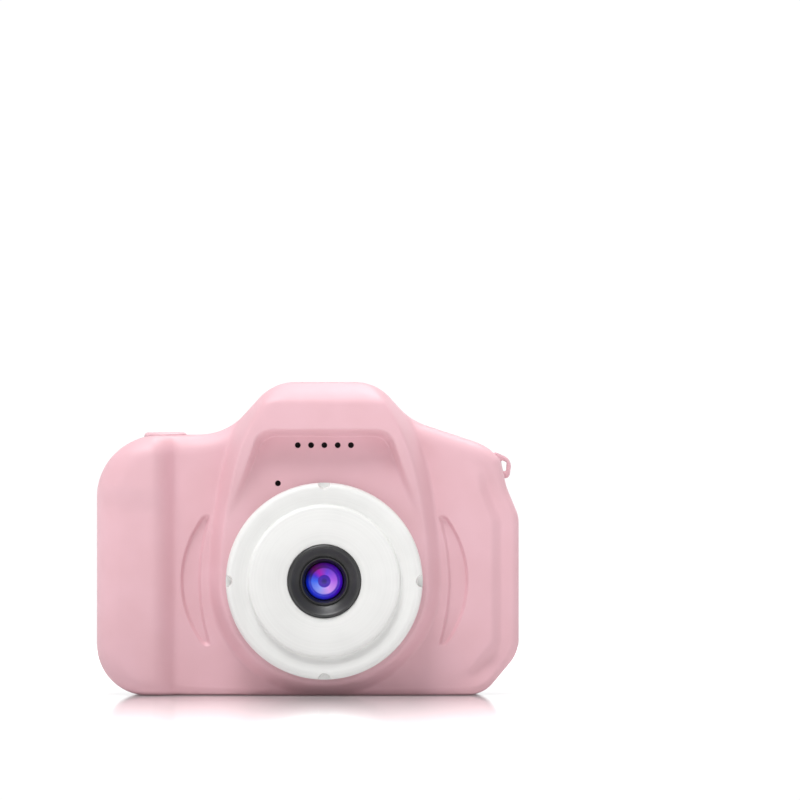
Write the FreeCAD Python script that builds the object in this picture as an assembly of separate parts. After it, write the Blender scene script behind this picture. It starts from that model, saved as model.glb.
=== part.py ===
"""A kids digital camera: two moulded shells round a lens group, a display, keys, a speaker and a battery.

Millimetres. +Z is up, the lens looks along -Y, and X runs to the right as seen from the front.
The origin is on the surface that the camera stands on, at the middle of its width and depth.
"""

import FreeCAD
import Part
import math
import os

V = FreeCAD.Vector

# ---- driving dimensions -------------------------------------------------------------------------
WIDTH = 81.0
HEIGHT = 60.0
DEPTH = 38.0
WALL = 1.8

# depth stations, from the front (-Y) to the rear (+Y)
BEZEL_FRONT = -DEPTH / 2
VISOR_FRONT = -16.5
PLATEAU = -13.4
GRIP_FRONT = -13.0
FACE_FRONT = -9.6
PARTING = 9.8
REAR_FACE = 17.0
RIM_REAR = DEPTH / 2

# the lens axis, and the hump that rises over it
LENS_X = 3.2
LENS_Z = 22.0
BEZEL_R = 18.85
HUMP_SLOPE_DEG = 47.6

# the left and right ends of the body, and its outer edge rounding
LEFT = -WIDTH / 2
RIGHT = WIDTH / 2
EDGE_R = 2.2
SHOULDER = 49.9

# display: the black-edged window, and the panel behind it
WINDOW = dict(x=3.2, z=23.6, w=49.5, h=39.8, r=5.8)
ACTIVE = dict(x=2.8, z=23.5, w=39.8, h=30.6)
WINDOW_T = 1.0

# viewfinder window in the hump's rear
EYE = dict(x=4.6, z=50.7, w=11.5, h=7.5, r=2.0)
EYE_PANEL = dict(x=4.6, z=50.4, w=22.4, h=11.4, r=4.6)
EYE_RIM = 1.4
EYE_PANEL_Y = REAR_FACE - 0.6

# circuit board
BOARD_Y = PARTING
BOARD_T = 1.0
BOARD_BACK = BOARD_Y + BOARD_T
BOARD_X = (-37.2, 31.4)
BOARD_Z = (2.4, 42.4)

# rear keys: (name, x, z); the two half-moon keys share the centre of the pad
ROUND_KEYS = [("power", -27.9, 38.7), ("up", -30.2, 26.6), ("down", -30.2, 9.4)]
KEY_R = 2.9
PAD_X = -30.2
PAD_Z = 18.0
HALF_KEYS = [("mode", +1), ("menu", -1)]
HALF_GAP = 0.8
HALF_R = 5.4
HALF_H = 6.9
KEY_TOP = REAR_FACE + 0.9
KEY_TRAVEL = 0.5
KEY_CLEAR = 0.16
FLANGE_T = 0.7
FLANGE_W = 0.7

# shutter button on the left shoulder
SHUTTER_X = -27.4
SHUTTER_Y = -1.5
SHUTTER_R = 4.1
SHUTTER_TOP = 50.4
SHUTTER_TRAVEL = 0.8

# case screws and the bosses that they run through
SCREWS = [(31.9, 44.4), (-20.0, 46.4), (-31.6, 3.0), (31.0, 3.0)]
SCREW_HEAD_R = 1.3
SCREW_WELL_R = 1.58
SCREW_SHANK_R = 0.85
SCREW_SEAT = REAR_FACE - 1.3
SCREW_LEN = 12.0
BOSS_R = 2.3

# board screws
BOARD_SCREWS = [(29.3, 12.0), (29.3, 36.0), (-23.2, 27.2)]

# sockets along the bottom edge of the board
USB_X = -3.2
CARD_X = 14.5
RESET_X = -13.0
RESET_Y = 8.6

# small front holes
SPEAKER_HOLES = 5
SPEAKER_PITCH = 2.55
SPEAKER_HOLE_R = 0.55
SPEAKER_Z = 48.0
MIC = (-5.7, 40.7)
LED = (-23.6, 31.7)

# lanyard lug on the right shoulder
LUG_Y = (2.0, 5.0)

# lens group
BEZEL_BACK = BEZEL_FRONT + 2.6
HOOD_R = 7.07
HOOD_SHOULDER = -15.3
BARREL_R = 4.5
CAMERA_Y = -2.0
LENS_SCREW_AT = 11.8
LENS_SCREW_R = 0.5

# switches, display stack and battery
SWITCH_R = 1.2
SHUTTER_STEM = 44.0
LCD_Y = REAR_FACE - WALL - 0.1
BOARD_SCREW_R = 0.6
BATTERY = dict(x=(11.8, 31.8), y=(-7.0, -2.0), z=(7.4, 37.4))


# ---- geometry helpers ---------------------------------------------------------------------------
def outline(corners, y=0.0):
    """A closed wire in the plane at y through (x, z, radius) corners, each rounded by a tangent arc."""
    ends = []
    n = len(corners)
    for i, (x, z, r) in enumerate(corners):
        here = V(x, y, z)
        before = V(corners[i - 1][0], y, corners[i - 1][1])
        after = V(corners[(i + 1) % n][0], y, corners[(i + 1) % n][1])
        back = (before - here).normalize()
        on = (after - here).normalize()
        half = back.getAngle(on) / 2
        if r <= 0:
            ends.append((here, here, here))
            continue
        reach = r / math.tan(half)
        centre = here + (back + on).normalize() * (r / math.sin(half))
        middle = centre + (here - centre).normalize() * r
        ends.append((here + back * reach, middle, here + on * reach))
    edges = []
    for i, (start, middle, stop) in enumerate(ends):
        if (start - stop).Length > 1e-6:
            edges.append(Part.Arc(start, middle, stop).toShape())
        onward = ends[(i + 1) % n][0]
        if (onward - stop).Length > 1e-6:
            edges.append(Part.LineSegment(stop, onward).toShape())
    return Part.Wire(edges)


def prism(wire, y0, y1):
    """The solid between y0 and y1 whose section is wire, which lies in the plane y = 0."""
    low, high = min(y0, y1), max(y0, y1)
    face = Part.Face(wire)
    face.translate(V(0, low, 0))
    return face.extrude(V(0, high - low, 0))


def inset(wire, distance):
    """wire moved inwards by distance, with its corners kept as arcs."""
    return wire.makeOffset2D(-distance)


def box(x0, x1, y0, y1, z0, z1):
    return Part.makeBox(x1 - x0, y1 - y0, z1 - z0, V(x0, y0, z0))


def rod(x, z, r, y0, y1):
    """A round bar along Y."""
    return Part.makeCylinder(r, abs(y1 - y0), V(x, min(y0, y1), z), V(0, 1, 0))


def post(x, y, r, z0, z1):
    """A round bar along Z."""
    return Part.makeCylinder(r, z1 - z0, V(x, y, z0))


def rounded(x, z, w, h, r):
    """A rounded rectangle, as a wire in the plane y = 0."""
    a, b = w / 2, h / 2
    return outline([(x - a, z - b, r), (x + a, z - b, r), (x + a, z + b, r), (x - a, z + b, r)])


def turned(x, z, profile):
    """A solid of revolution about the line along Y through (x, z), from (radius, y) points."""
    wire = Part.makePolygon([V(x + r, y, z) for r, y in profile + profile[:1]])
    return Part.Face(wire).revolve(V(x, 0, z), V(0, 1, 0), 360)


def fuse(shapes):
    whole = shapes[0].fuse(shapes[1:]) if len(shapes) > 1 else shapes[0]
    return whole.removeSplitter()


def group(solids):
    return Part.makeCompound(solids)


def soften(shape, r, keep):
    """Fillets, by r, the edges for which keep(edge) is true."""
    edges = [e for e in shape.Edges if keep(e)]
    return shape.makeFillet(r, edges)


def lies_at_y(edge, y):
    low, high = edge.BoundBox.YMin, edge.BoundBox.YMax
    return abs(low - y) < 1e-4 and abs(high - y) < 1e-4


# ---- the body's outline -------------------------------------------------------------------------
def body_corners():
    """The outline seen from the front, anticlockwise from the bottom left."""
    rise = HEIGHT - SHOULDER
    run = rise / math.tan(math.radians(HUMP_SLOPE_DEG))
    top_half = 9.8
    right_foot_z = 52.6
    right_run = (HEIGHT - right_foot_z) / math.tan(math.radians(HUMP_SLOPE_DEG))
    return [
        (LEFT, 0, 9.7),
        (33.6, 0, 6.5),
        (RIGHT, 8.1, 7.0),
        (RIGHT, 34.3, 6.0),
        (38.2, 39.8, 6.0),
        (36.9, 45.3, 2.5),
        (34.2, 47.8, 11.0),
        (LENS_X + top_half + right_run, right_foot_z, 12.0),
        (LENS_X + top_half, HEIGHT, 9.0),
        (LENS_X - top_half, HEIGHT, 9.0),
        (LENS_X - top_half - run, SHOULDER, 12.0),
        (LEFT, SHOULDER - 0.2, 11.8),
    ]


def tower_outline(lower_r, knee_half, top_half, top_z):
    """The tower round the lens: a circle about its axis with tangent sides, which close in above a knee."""
    up = KNEE_Z - LENS_Z
    lean = math.atan2(up, -knee_half) + math.acos(lower_r / math.hypot(knee_half, up))
    reach, rise = lower_r * math.cos(lean), lower_r * math.sin(lean)
    low = V(LENS_X, 0, LENS_Z - lower_r)
    side_l, side_r = V(LENS_X + reach, 0, LENS_Z + rise), V(LENS_X - reach, 0, LENS_Z + rise)
    knee_l, knee_r = V(LENS_X - knee_half, 0, KNEE_Z), V(LENS_X + knee_half, 0, KNEE_Z)
    top_l, top_r = V(LENS_X - top_half, 0, top_z), V(LENS_X + top_half, 0, top_z)
    sides = [side_r, knee_r, top_r, top_l, knee_l, side_l]
    edges = [Part.LineSegment(p, q).toShape() for p, q in zip(sides, sides[1:])]
    return Part.Wire([Part.Arc(side_l, low, side_r).toShape()] + edges)


def loft_y(wire0, y0, wire1, y1):
    """A straight-sided solid from wire0 at y0 to wire1 at y1."""
    low, high = wire0.copy(), wire1.copy()
    low.translate(V(0, y0, 0))
    high.translate(V(0, y1, 0))
    return Part.makeLoft([low, high], True, True)


def side_block(points, x0, x1):
    """The solid between x0 and x1 whose section in the plane of Y and Z has these (y, z) corners."""
    wire = Part.makePolygon([V(x0, y, z) for y, z in points + points[:1]])
    return Part.Face(wire).extrude(V(x1 - x0, 0, 0))


def plan_block(points, z0, z1):
    """The solid between z0 and z1 whose section in the plane of X and Y has these (x, y) corners."""
    wire = Part.makePolygon([V(x, y, z0) for x, y in points + points[:1]])
    return Part.Face(wire).extrude(V(0, 0, z1 - z0))


BODY = outline(body_corners())


# ---- front shell --------------------------------------------------------------------------------
TOWER_R = 19.9
TOWER_TOP_HALF = 10.6
TOWER_KNEE_HALF = 16.8
KNEE_Z = 44.0
VISOR_LOW = 50.4
STEP_W = 4.2
STEP_Y = -8.2
STEP_BACK = REAR_FACE - 1.4
STEP_X = 31.0
STEP_Z = (2.2, 46.5)
CRESCENT_OUT = 27.4
CRESCENT_R = 20.0
CRESCENT_INNER_R = 40.0
CRESCENT_W = 3.5
CRESCENT_HALF = 12.2
CRESCENT_DEEP = 0.5
BEZEL_HOLE_R = 15.1
BEZEL_PIN_AT = 16.6
BEZEL_PIN_R = 0.55
SPEAKER_Y = PLATEAU + 3.2
SPEAKER_CENTRE = (LENS_X, 49.4)
SPEAKER_R = 6.5
MIC_R = 2.0
MIC_Y = PLATEAU + 1.8
BOOT_R = 2.7
SWITCH_BOARD = dict(x0=-33.0, x1=-22.0, y0=-6.5, y1=3.4, z0=39.8, z1=40.8)
RAILS = [(-33.7, -32.2, -11.8), (-22.8, -21.3, -8.2)]


def grip_block(front, wall):
    """The finger grip at the left: a swelling whose inner side slopes back to the main face."""
    section = [
        (LEFT + wall, PARTING),
        (LEFT + wall, front),
        (-28.6 - wall / 2, front),
        (-24.4 - wall / 2, FACE_FRONT + wall),
        (-24.4 - wall / 2, PARTING),
    ]
    return plan_block(section, wall, HEIGHT - wall)


def crescent(side):
    """A crescent groove beside the lens, as a cutter."""
    middle = LENS_X + side * CRESCENT_OUT
    low, high = FACE_FRONT - 4, FACE_FRONT + CRESCENT_DEEP
    outer = rod(middle - side * CRESCENT_R, LENS_Z, CRESCENT_R, low, high)
    inner = rod(middle - side * (CRESCENT_INNER_R + CRESCENT_W), LENS_Z, CRESCENT_INNER_R, low - 1, high + 1)
    band = box(-60, 60, low, high, LENS_Z - CRESCENT_HALF, LENS_Z + CRESCENT_HALF)
    return outer.cut(inner).common(band)


def lug():
    """The lanyard lug on the right shoulder, with its three-cornered eye."""
    outer = outline([(34.6, 43.0, 0), (38.9, 41.0, 0.9), (39.4, 45.2, 1.9), (35.4, 47.2, 0.8)])
    eye = outline([(37.55, 42.5, 0.25), (38.35, 42.9, 0.3), (38.3, 44.5, 0.3), (37.2, 45.0, 0.2)])
    return prism(outer, *LUG_Y), prism(eye, LUG_Y[0] - 1, LUG_Y[1] + 1)


def front_outside():
    base = soften(prism(BODY, FACE_FRONT, PARTING), EDGE_R, lambda e: lies_at_y(e, FACE_FRONT))
    grown = prism(BODY, VISOR_FRONT - 1, PARTING)
    grip = grip_block(GRIP_FRONT, 0).common(grown)
    grip = soften(grip, EDGE_R, lambda e: lies_at_y(e, GRIP_FRONT) and e.BoundBox.XMin < -28.7)
    tower = loft_y(
        tower_outline(TOWER_R, TOWER_KNEE_HALF, TOWER_TOP_HALF, HEIGHT + 0.4), PLATEAU,
        tower_outline(TOWER_R + 2.6, TOWER_KNEE_HALF + 2.6, TOWER_TOP_HALF + 2.4, HEIGHT + 1.6),
        FACE_FRONT + 0.6,
    ).common(grown)
    visor = side_block(
        [(PLATEAU + 1, HEIGHT), (PLATEAU + 0.6, HEIGHT), (VISOR_FRONT, 56.6), (VISOR_FRONT, VISOR_LOW),
         (PLATEAU, 39.0), (PLATEAU + 1, 39.0)], -20, 30,
    ).common(grown)
    sides = tower_outline(TOWER_R, TOWER_KNEE_HALF, TOWER_TOP_HALF, HEIGHT + 0.4)
    visor = visor.common(prism(sides, VISOR_FRONT - 1, PLATEAU + 1))
    lug_solid, lug_eye = lug()
    whole = fuse([base, grip, tower, visor, lug_solid]).cut(lug_eye)
    top_bevel = side_block([(PLATEAU + 3.4, HEIGHT + 0.2), (-20, HEIGHT + 0.2), (-20, 54.3)], -30, 40)
    recess = prism(
        outline([(LENS_X - 15.4, 36, 0), (LENS_X + 15.4, 36, 0), (LENS_X + 11.7, VISOR_LOW, 4.4),
                 (LENS_X - 11.7, VISOR_LOW, 4.4)]), -20, PLATEAU + 1.2,
    ).common(side_block([(-20, 36), (PLATEAU, 36), (PLATEAU, 42.6), (PLATEAU + 1.1, VISOR_LOW),
                         (PLATEAU + 1.1, VISOR_LOW + 1), (-20, VISOR_LOW + 1)], -30, 40))
    whole = whole.cut([top_bevel, recess, crescent(-1), crescent(1)])
    ledge = prism(BODY, -30, STEP_Y).cut(prism(inset(BODY, STEP_W), -31, 0))
    ledge = ledge.common(box(STEP_X, 60, -30, STEP_Y, *STEP_Z))
    return whole.cut(ledge)


def front_inside():
    wall_line = inset(BODY, WALL)
    main = prism(wall_line, -6.4, PARTING + 1)
    deep = prism(inset(BODY, STEP_W + WALL), FACE_FRONT + WALL, -6)
    grip = grip_block(GRIP_FRONT + WALL, WALL).common(prism(wall_line, -20, PARTING))
    inner_tower = tower_outline(TOWER_R - WALL, TOWER_KNEE_HALF - WALL, TOWER_TOP_HALF - WALL, HEIGHT - WALL)
    low_tower = prism(inner_tower, PLATEAU + WALL, 0).common(box(-60, 60, -20, 1, 0, 43.8))
    high_tower = prism(inner_tower, PLATEAU + 3.2, 0).common(box(-60, 60, -20, 1, 40, 56.9))
    return [main, deep, grip, low_tower, high_tower]


def front_shell():
    shell = front_outside()
    for hollow in front_inside():
        shell = shell.cut(hollow)
    pins = [LENS_X - BEZEL_PIN_AT, LENS_X + BEZEL_PIN_AT]
    posts = [rod(x, z, BOSS_R, FACE_FRONT + 1, PARTING) for x, z in SCREWS]
    posts.append(rod(*SPEAKER_CENTRE, SPEAKER_R + 1.2, SPEAKER_Y - 0.3, SPEAKER_Y + 2.0))
    posts.append(rod(*MIC, BOOT_R + 0.7, MIC_Y - 0.4, MIC_Y + 1.4))
    posts += [rod(x, LENS_Z, 1.4, PLATEAU + 1.6, PLATEAU + 2.9) for x in pins]
    for x0, x1, y0 in RAILS:
        posts.append(box(x0, x1, y0, SWITCH_BOARD["y1"], SWITCH_BOARD["z0"] - 1.4, SWITCH_BOARD["z1"] + 1.1))
    shell = fuse([shell] + posts)
    holes = [rod(x, z, SCREW_SHANK_R + 0.02, SCREW_SEAT - SCREW_LEN - 0.6, PARTING + 1) for x, z in SCREWS]
    holes.append(rod(*SPEAKER_CENTRE, SPEAKER_R + 0.1, SPEAKER_Y, SPEAKER_Y + 3))
    holes.append(rod(*MIC, BOOT_R + 0.05, MIC_Y, MIC_Y + 3))
    holes.append(rod(LENS_X, LENS_Z, BEZEL_HOLE_R, PLATEAU - 1, 0))
    holes += [rod(x, LENS_Z, BEZEL_PIN_R + 0.07, PLATEAU - 1, PLATEAU + 4) for x in pins]
    middle = (SPEAKER_HOLES - 1) / 2
    holes += [
        rod(LENS_X + (i - middle) * SPEAKER_PITCH, SPEAKER_Z, SPEAKER_HOLE_R, -20, -8)
        for i in range(SPEAKER_HOLES)
    ]
    holes.append(rod(*MIC, SPEAKER_HOLE_R, -20, -8))
    holes.append(post(SHUTTER_X, SHUTTER_Y, SHUTTER_R + 0.2, 44, 54))
    holes.append(box(SWITCH_BOARD["x0"] - 0.05, SWITCH_BOARD["x1"] + 0.05, SWITCH_BOARD["y0"] - 0.05,
                     PARTING, SWITCH_BOARD["z0"], SWITCH_BOARD["z1"]))
    holes.append(box(USB_X - 3.95, USB_X + 3.95, 7.1, PARTING + 1, -1, 3))
    holes.append(box(CARD_X - 6.0, CARD_X + 6.0, 8.0, PARTING + 1, -1, 3))
    holes.append(post(RESET_X, RESET_Y, 0.6, -1, 3))
    bosses = group([rod(x, z, BOSS_R, 0, 20) for x, z in SCREWS])
    holes.append(prism(inset(BODY, 0.95), PARTING - 1.3, PARTING + 1).cut(bosses))
    return shell.cut(holes)


# ---- rear shell ---------------------------------------------------------------------------------
def half_moon(side, grow, y0, y1):
    """A D-shaped bar for one half of the key pad: side is +1 for the right half and -1 for the left."""
    r = HALF_R - 1.8 + grow
    bar = rod(PAD_X + side * 1.9, PAD_Z, r, y0, y1)
    flat = PAD_X + side * (HALF_GAP - grow)
    far = flat + side * 12
    edge = box(min(flat, far), max(flat, far), y0 - 1, y1 + 1, PAD_Z - 10, PAD_Z + 10)
    bar = bar.common(edge)
    return soften(bar, 0.9 + grow / 2, lambda e: abs(e.BoundBox.YLength - abs(y1 - y0)) < 1e-3
                  and e.BoundBox.XLength < 1e-3)


def eye_rim():
    """The arch round the viewfinder: a top bar and two legs, rounded to the rear."""
    w, top = EYE_PANEL["w"] + 2 * EYE_RIM, EYE_PANEL["z"] + EYE_PANEL["h"] / 2 + EYE_RIM
    foot, x = 44.4, EYE_PANEL["x"]
    arch = outline([(x - w / 2, foot, 0), (x + w / 2, foot, 0), (x + w / 2, top, 5.8), (x - w / 2, top, 5.8)])
    solid = prism(arch, REAR_FACE - 1, RIM_REAR)
    solid = soften(solid, 1.0, lambda e: lies_at_y(e, RIM_REAR))
    return solid


def rear_shell():
    shell = soften(prism(BODY, PARTING, REAR_FACE), EDGE_R, lambda e: lies_at_y(e, REAR_FACE))
    shell = shell.fuse(eye_rim())
    panel_top = EYE_PANEL["z"] + EYE_PANEL["h"] / 2
    x, half = EYE_PANEL["x"], EYE_PANEL["w"] / 2
    panel = outline([(x - half, 44.4, 0), (x + half, 44.4, 0), (x + half, panel_top, EYE_PANEL["r"]),
                     (x - half, panel_top, EYE_PANEL["r"])])
    slope = side_block([(EYE_PANEL_Y, 46), (REAR_FACE + 0.05, 44.5), (30, 44.5), (30, 60), (EYE_PANEL_Y, 60)],
                       -30, 40)
    shell = shell.cut(prism(panel, EYE_PANEL_Y, 30).common(slope)).cut(
        prism(panel, REAR_FACE, 30))
    ledge = prism(BODY, STEP_BACK, 30).cut(prism(inset(BODY, STEP_W), 0, 31)).common(
        box(STEP_X, 60, STEP_BACK, 30, *STEP_Z))
    shell = shell.cut(ledge)
    shell = shell.cut(prism(inset(BODY, WALL + STEP_W), PARTING - 1, REAR_FACE - WALL))
    shell = shell.cut(prism(inset(BODY, WALL), PARTING - 1, REAR_FACE - WALL - 1.2))
    keep = box(LEFT, STEP_X - 6, PARTING - 1, REAR_FACE - WALL, 0, HEIGHT)
    shell = shell.cut(prism(inset(BODY, WALL), PARTING - 1, REAR_FACE - WALL).common(keep))
    tongue = prism(inset(BODY, 1.05), PARTING - 1.2, PARTING + 0.5).cut(
        prism(inset(BODY, WALL), PARTING - 2, PARTING + 1))
    tongue = tongue.cut([
        box(USB_X - 4.2, USB_X + 4.2, 0, PARTING, -1, 4),
        box(CARD_X - 7.4, CARD_X + 7.4, 0, PARTING, -1, 4),
        post(RESET_X, RESET_Y, 1.2, -1, 4),
    ] + [rod(sx, sz, BOSS_R + 0.15, 0, PARTING) for sx, sz in SCREWS])
    tongue = tongue.cut(box(34, 41, 0, PARTING, 38, 50))
    parts = [shell, tongue]
    parts += [rod(sx, sz, BOSS_R, PARTING, SCREW_SEAT + 0.2) for sx, sz in SCREWS]
    parts += [rod(sx, sz, 1.6, BOARD_BACK, REAR_FACE - WALL + 0.2) for sx, sz in BOARD_SCREWS]
    parts.append(prism(rounded(EYE["x"], EYE["z"], EYE["w"] + 3, EYE["h"] + 2, EYE["r"]), 13.8, 15.4))
    shell = fuse(parts)
    holes = [prism(rounded(WINDOW["x"], WINDOW["z"], WINDOW["w"] + 0.2, WINDOW["h"] + 0.2, WINDOW["r"]),
                   REAR_FACE - WINDOW_T, 30)]
    holes.append(prism(rounded(ACTIVE["x"], ACTIVE["z"], ACTIVE["w"] + 3.4, ACTIVE["h"] + 3.4, 1.0), 12, 30))
    holes.append(prism(rounded(EYE["x"], EYE["z"], EYE["w"] + 0.16, EYE["h"] + 0.16, EYE["r"]),
                       EYE_PANEL_Y - 0.9, 30))
    for _, kx, kz in ROUND_KEYS:
        holes.append(rod(kx, kz, KEY_R + KEY_CLEAR, 12, 20))
    for _, side in HALF_KEYS:
        holes.append(half_moon(side, KEY_CLEAR, 12, 20))
    for sx, sz in SCREWS:
        holes.append(rod(sx, sz, SCREW_WELL_R, SCREW_SEAT, 20))
        holes.append(rod(sx, sz, SCREW_SHANK_R + 0.15, 0, 20))
    for sx, sz in BOARD_SCREWS:
        holes.append(rod(sx, sz, 0.62, BOARD_BACK - 1, BOARD_BACK + 3.6))
    holes.append(rod(*LED, 0.56, 12, 20))
    return shell.cut(holes)


# ---- lens group ---------------------------------------------------------------------------------
BRIDGE_Y = PLATEAU + 3.0


def lens_bezel():
    ring = turned(LENS_X, LENS_Z, [
        (BEZEL_R, PLATEAU), (BEZEL_R, BEZEL_FRONT + 1.3), (18.0, BEZEL_FRONT + 0.4),
        (15.2, BEZEL_FRONT + 1.2), (14.5, BEZEL_FRONT + 0.6), (14.1, BEZEL_FRONT), (7.8, BEZEL_FRONT + 0.7),
        (HOOD_R + 0.05, BEZEL_FRONT + 0.9), (HOOD_R + 0.05, BEZEL_BACK), (13.8, BEZEL_BACK),
        (13.8, BRIDGE_Y), (15.0, BRIDGE_Y),
        (15.0, BEZEL_BACK + 0.2),
        (17.3, BEZEL_BACK + 0.2), (17.3, PLATEAU),
    ])
    extra = []
    for x in (LENS_X - BEZEL_PIN_AT, LENS_X + BEZEL_PIN_AT):
        extra.append(rod(x, LENS_Z, BEZEL_PIN_R, BEZEL_BACK, PLATEAU + 2.6))
    for x in (LENS_X - LENS_SCREW_AT, LENS_X + LENS_SCREW_AT):
        extra.append(rod(x, LENS_Z, 1.5, BEZEL_BACK - 0.2, BRIDGE_Y))
    for degrees in (45, 135, 225, 315):
        hook = box(14.2, 15.6, PLATEAU + 1.95, BRIDGE_Y, -1.5, 1.5)
        hook.rotate(V(0, 0, 0), V(0, 1, 0), degrees)
        hook.translate(V(LENS_X, 0, LENS_Z))
        extra.append(hook)
    notches = []
    for degrees in (0, 90, 180, 270):
        turn = math.radians(degrees)
        x, z = LENS_X + BEZEL_R * math.cos(turn), LENS_Z + BEZEL_R * math.sin(turn)
        notches.append(rod(x, z, 1.12, -20, -16.8))
    for x in (LENS_X - LENS_SCREW_AT, LENS_X + LENS_SCREW_AT):
        notches.append(rod(x, LENS_Z, LENS_SCREW_R + 0.02, BRIDGE_Y - 4.0, BRIDGE_Y + 1))
    return fuse([ring] + extra).cut(notches)


def lens_hood():
    return turned(LENS_X, LENS_Z, [
        (HOOD_R, BEZEL_BACK), (HOOD_R, BEZEL_FRONT + 0.6), (6.75, BEZEL_FRONT + 0.3),
        (4.75, BEZEL_FRONT + 2.2), (3.78, BEZEL_FRONT + 2.5), (3.78, HOOD_SHOULDER),
        (BARREL_R + 0.05, HOOD_SHOULDER),
        (BARREL_R + 0.05, -12.6),
        (5.8, -12.6), (5.8, HOOD_SHOULDER + 0.4), (8.6, HOOD_SHOULDER + 0.4), (8.6, BEZEL_BACK),
    ])


def lens_barrel():
    return turned(LENS_X, LENS_Z, [
        (BARREL_R, HOOD_SHOULDER), (BARREL_R, -5.6), (2.0, -5.6), (2.0, -7.0), (2.75, -7.0), (2.75, -9.0),
        (2.2, -9.0), (2.9, -14.0), (3.72, -14.0), (3.72, HOOD_SHOULDER),
    ])


def lens_front_element():
    disc = rod(LENS_X, LENS_Z, 3.7, -15.3, -14.0)
    dome_r = (3.7 ** 2 + 1.0) / 2
    dome = Part.makeSphere(dome_r, V(LENS_X, -16.3 + dome_r, LENS_Z))
    dome = dome.common(rod(LENS_X, LENS_Z, 3.7, -17, -15.3))
    return disc.fuse(dome).removeSplitter()


def lens_rear_element():
    return rod(LENS_X, LENS_Z, 2.73, -8.9, -7.0)


def lens_holder():
    block = box(LENS_X - 5.2, LENS_X + 5.2, BRIDGE_Y + 1.2, CAMERA_Y, LENS_Z - 5.2, LENS_Z + 5.2)
    bridge = box(LENS_X - 14.4, LENS_X + 14.4, BRIDGE_Y, BRIDGE_Y + 1.2, LENS_Z - 3.2, LENS_Z + 3.2)
    disc = rod(LENS_X, LENS_Z, 6.4, BRIDGE_Y, BRIDGE_Y + 1.2)
    holder = fuse([block, bridge, disc])
    holes = [rod(LENS_X, LENS_Z, BARREL_R + 0.04, BRIDGE_Y - 1, -5.2)]
    holes.append(box(LENS_X - 3.8, LENS_X + 3.8, -5.4, CAMERA_Y + 1, LENS_Z - 3.8, LENS_Z + 3.8))
    holes += [rod(x, LENS_Z, LENS_SCREW_R + 0.15, -12, -6) for x in
              (LENS_X - LENS_SCREW_AT, LENS_X + LENS_SCREW_AT)]
    return holder.cut(holes)


def image_sensor():
    return box(LENS_X - 2.6, LENS_X + 2.6, CAMERA_Y - 1.1, CAMERA_Y, LENS_Z - 2.6, LENS_Z + 2.6)


def camera_board():
    return box(LENS_X - 6, LENS_X + 6, CAMERA_Y, CAMERA_Y + 0.8, LENS_Z - 6, LENS_Z + 6)


def camera_flex():
    """From the back of the camera board along Y to its connector on the main board."""
    x0, x1 = LENS_X - 3, LENS_X + 3
    turn = LENS_Z - 8
    down = box(x0, x1, CAMERA_Y + 0.8, CAMERA_Y + 0.95, turn, LENS_Z - 3)
    along = box(x0, x1, CAMERA_Y + 0.8, BOARD_Y - 0.6, turn - 0.15, turn)
    return fuse([down, along])


def flex_connector():
    z = LENS_Z - 8
    block = box(LENS_X - 4, LENS_X + 4, BOARD_Y - 1.6, BOARD_Y, z - 1.6, z + 1.4)
    return block.cut(box(LENS_X - 3.05, LENS_X + 3.05, BOARD_Y - 2, BOARD_Y - 0.55, z - 0.2, z + 0.05))


def lens_screws():
    return group([screw(x, LENS_Z, BRIDGE_Y + 1.2, -1, 1.1, 0.7, LENS_SCREW_R, 4.4)
                  for x in (LENS_X - LENS_SCREW_AT, LENS_X + LENS_SCREW_AT)])


# ---- display ------------------------------------------------------------------------------------
def display_window():
    pane = prism(rounded(WINDOW["x"], WINDOW["z"], WINDOW["w"], WINDOW["h"], WINDOW["r"]),
                 REAR_FACE - WINDOW_T, REAR_FACE + 0.1)
    return soften(pane, 0.25, lambda e: lies_at_y(e, REAR_FACE + 0.1))


def display_panel():
    x, z = WINDOW["x"], ACTIVE["z"]
    return box(x - 23.4, x + 23.4, LCD_Y - 1.2, LCD_Y, z - 17.1, z + 17.1)


def display_backlight():
    x, z = WINDOW["x"], ACTIVE["z"]
    return box(x - 23.9, x + 23.9, LCD_Y - 2.3, LCD_Y - 1.2, z - 17.6, z + 17.6)


def display_flex():
    z = ACTIVE["z"] - 17.6
    x0, x1 = WINDOW["x"] + 4, WINDOW["x"] + 16
    top = box(x0, x1, LCD_Y - 1.9, LCD_Y - 1.75, z - 0.6, z)
    leg = box(x0, x1, BOARD_BACK, LCD_Y - 1.75, z - 0.75, z - 0.6)
    foot = box(x0, x1, BOARD_BACK, BOARD_BACK + 0.15, z - 2.6, z - 0.6)
    return fuse([top, leg, foot])


def display_foam():
    x, z = WINDOW["x"], ACTIVE["z"]
    return box(x - 22, x + 22, BOARD_BACK, LCD_Y - 2.3, z - 15, z + 15)


def viewfinder_window():
    shape = rounded(EYE["x"], EYE["z"], EYE["w"], EYE["h"], EYE["r"])
    pane = prism(shape, EYE_PANEL_Y - 0.9, EYE_PANEL_Y - 0.05)
    return soften(pane, 0.2, lambda e: lies_at_y(e, EYE_PANEL_Y - 0.05))


# ---- keys ---------------------------------------------------------------------------------------
FLANGE_REAR = REAR_FACE - WALL - 0.1
SWITCH_TOP = BOARD_BACK + 2.4


def key(cap, flange):
    """A key cap that stands through the rear shell, on a flange that keeps it in."""
    cap = soften(cap, 0.5, lambda e: lies_at_y(e, KEY_TOP))
    return fuse([cap, flange])


def round_key(x, z):
    return key(rod(x, z, KEY_R, FLANGE_REAR - FLANGE_T, KEY_TOP),
               rod(x, z, KEY_R + FLANGE_W, FLANGE_REAR - FLANGE_T, FLANGE_REAR))


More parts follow.
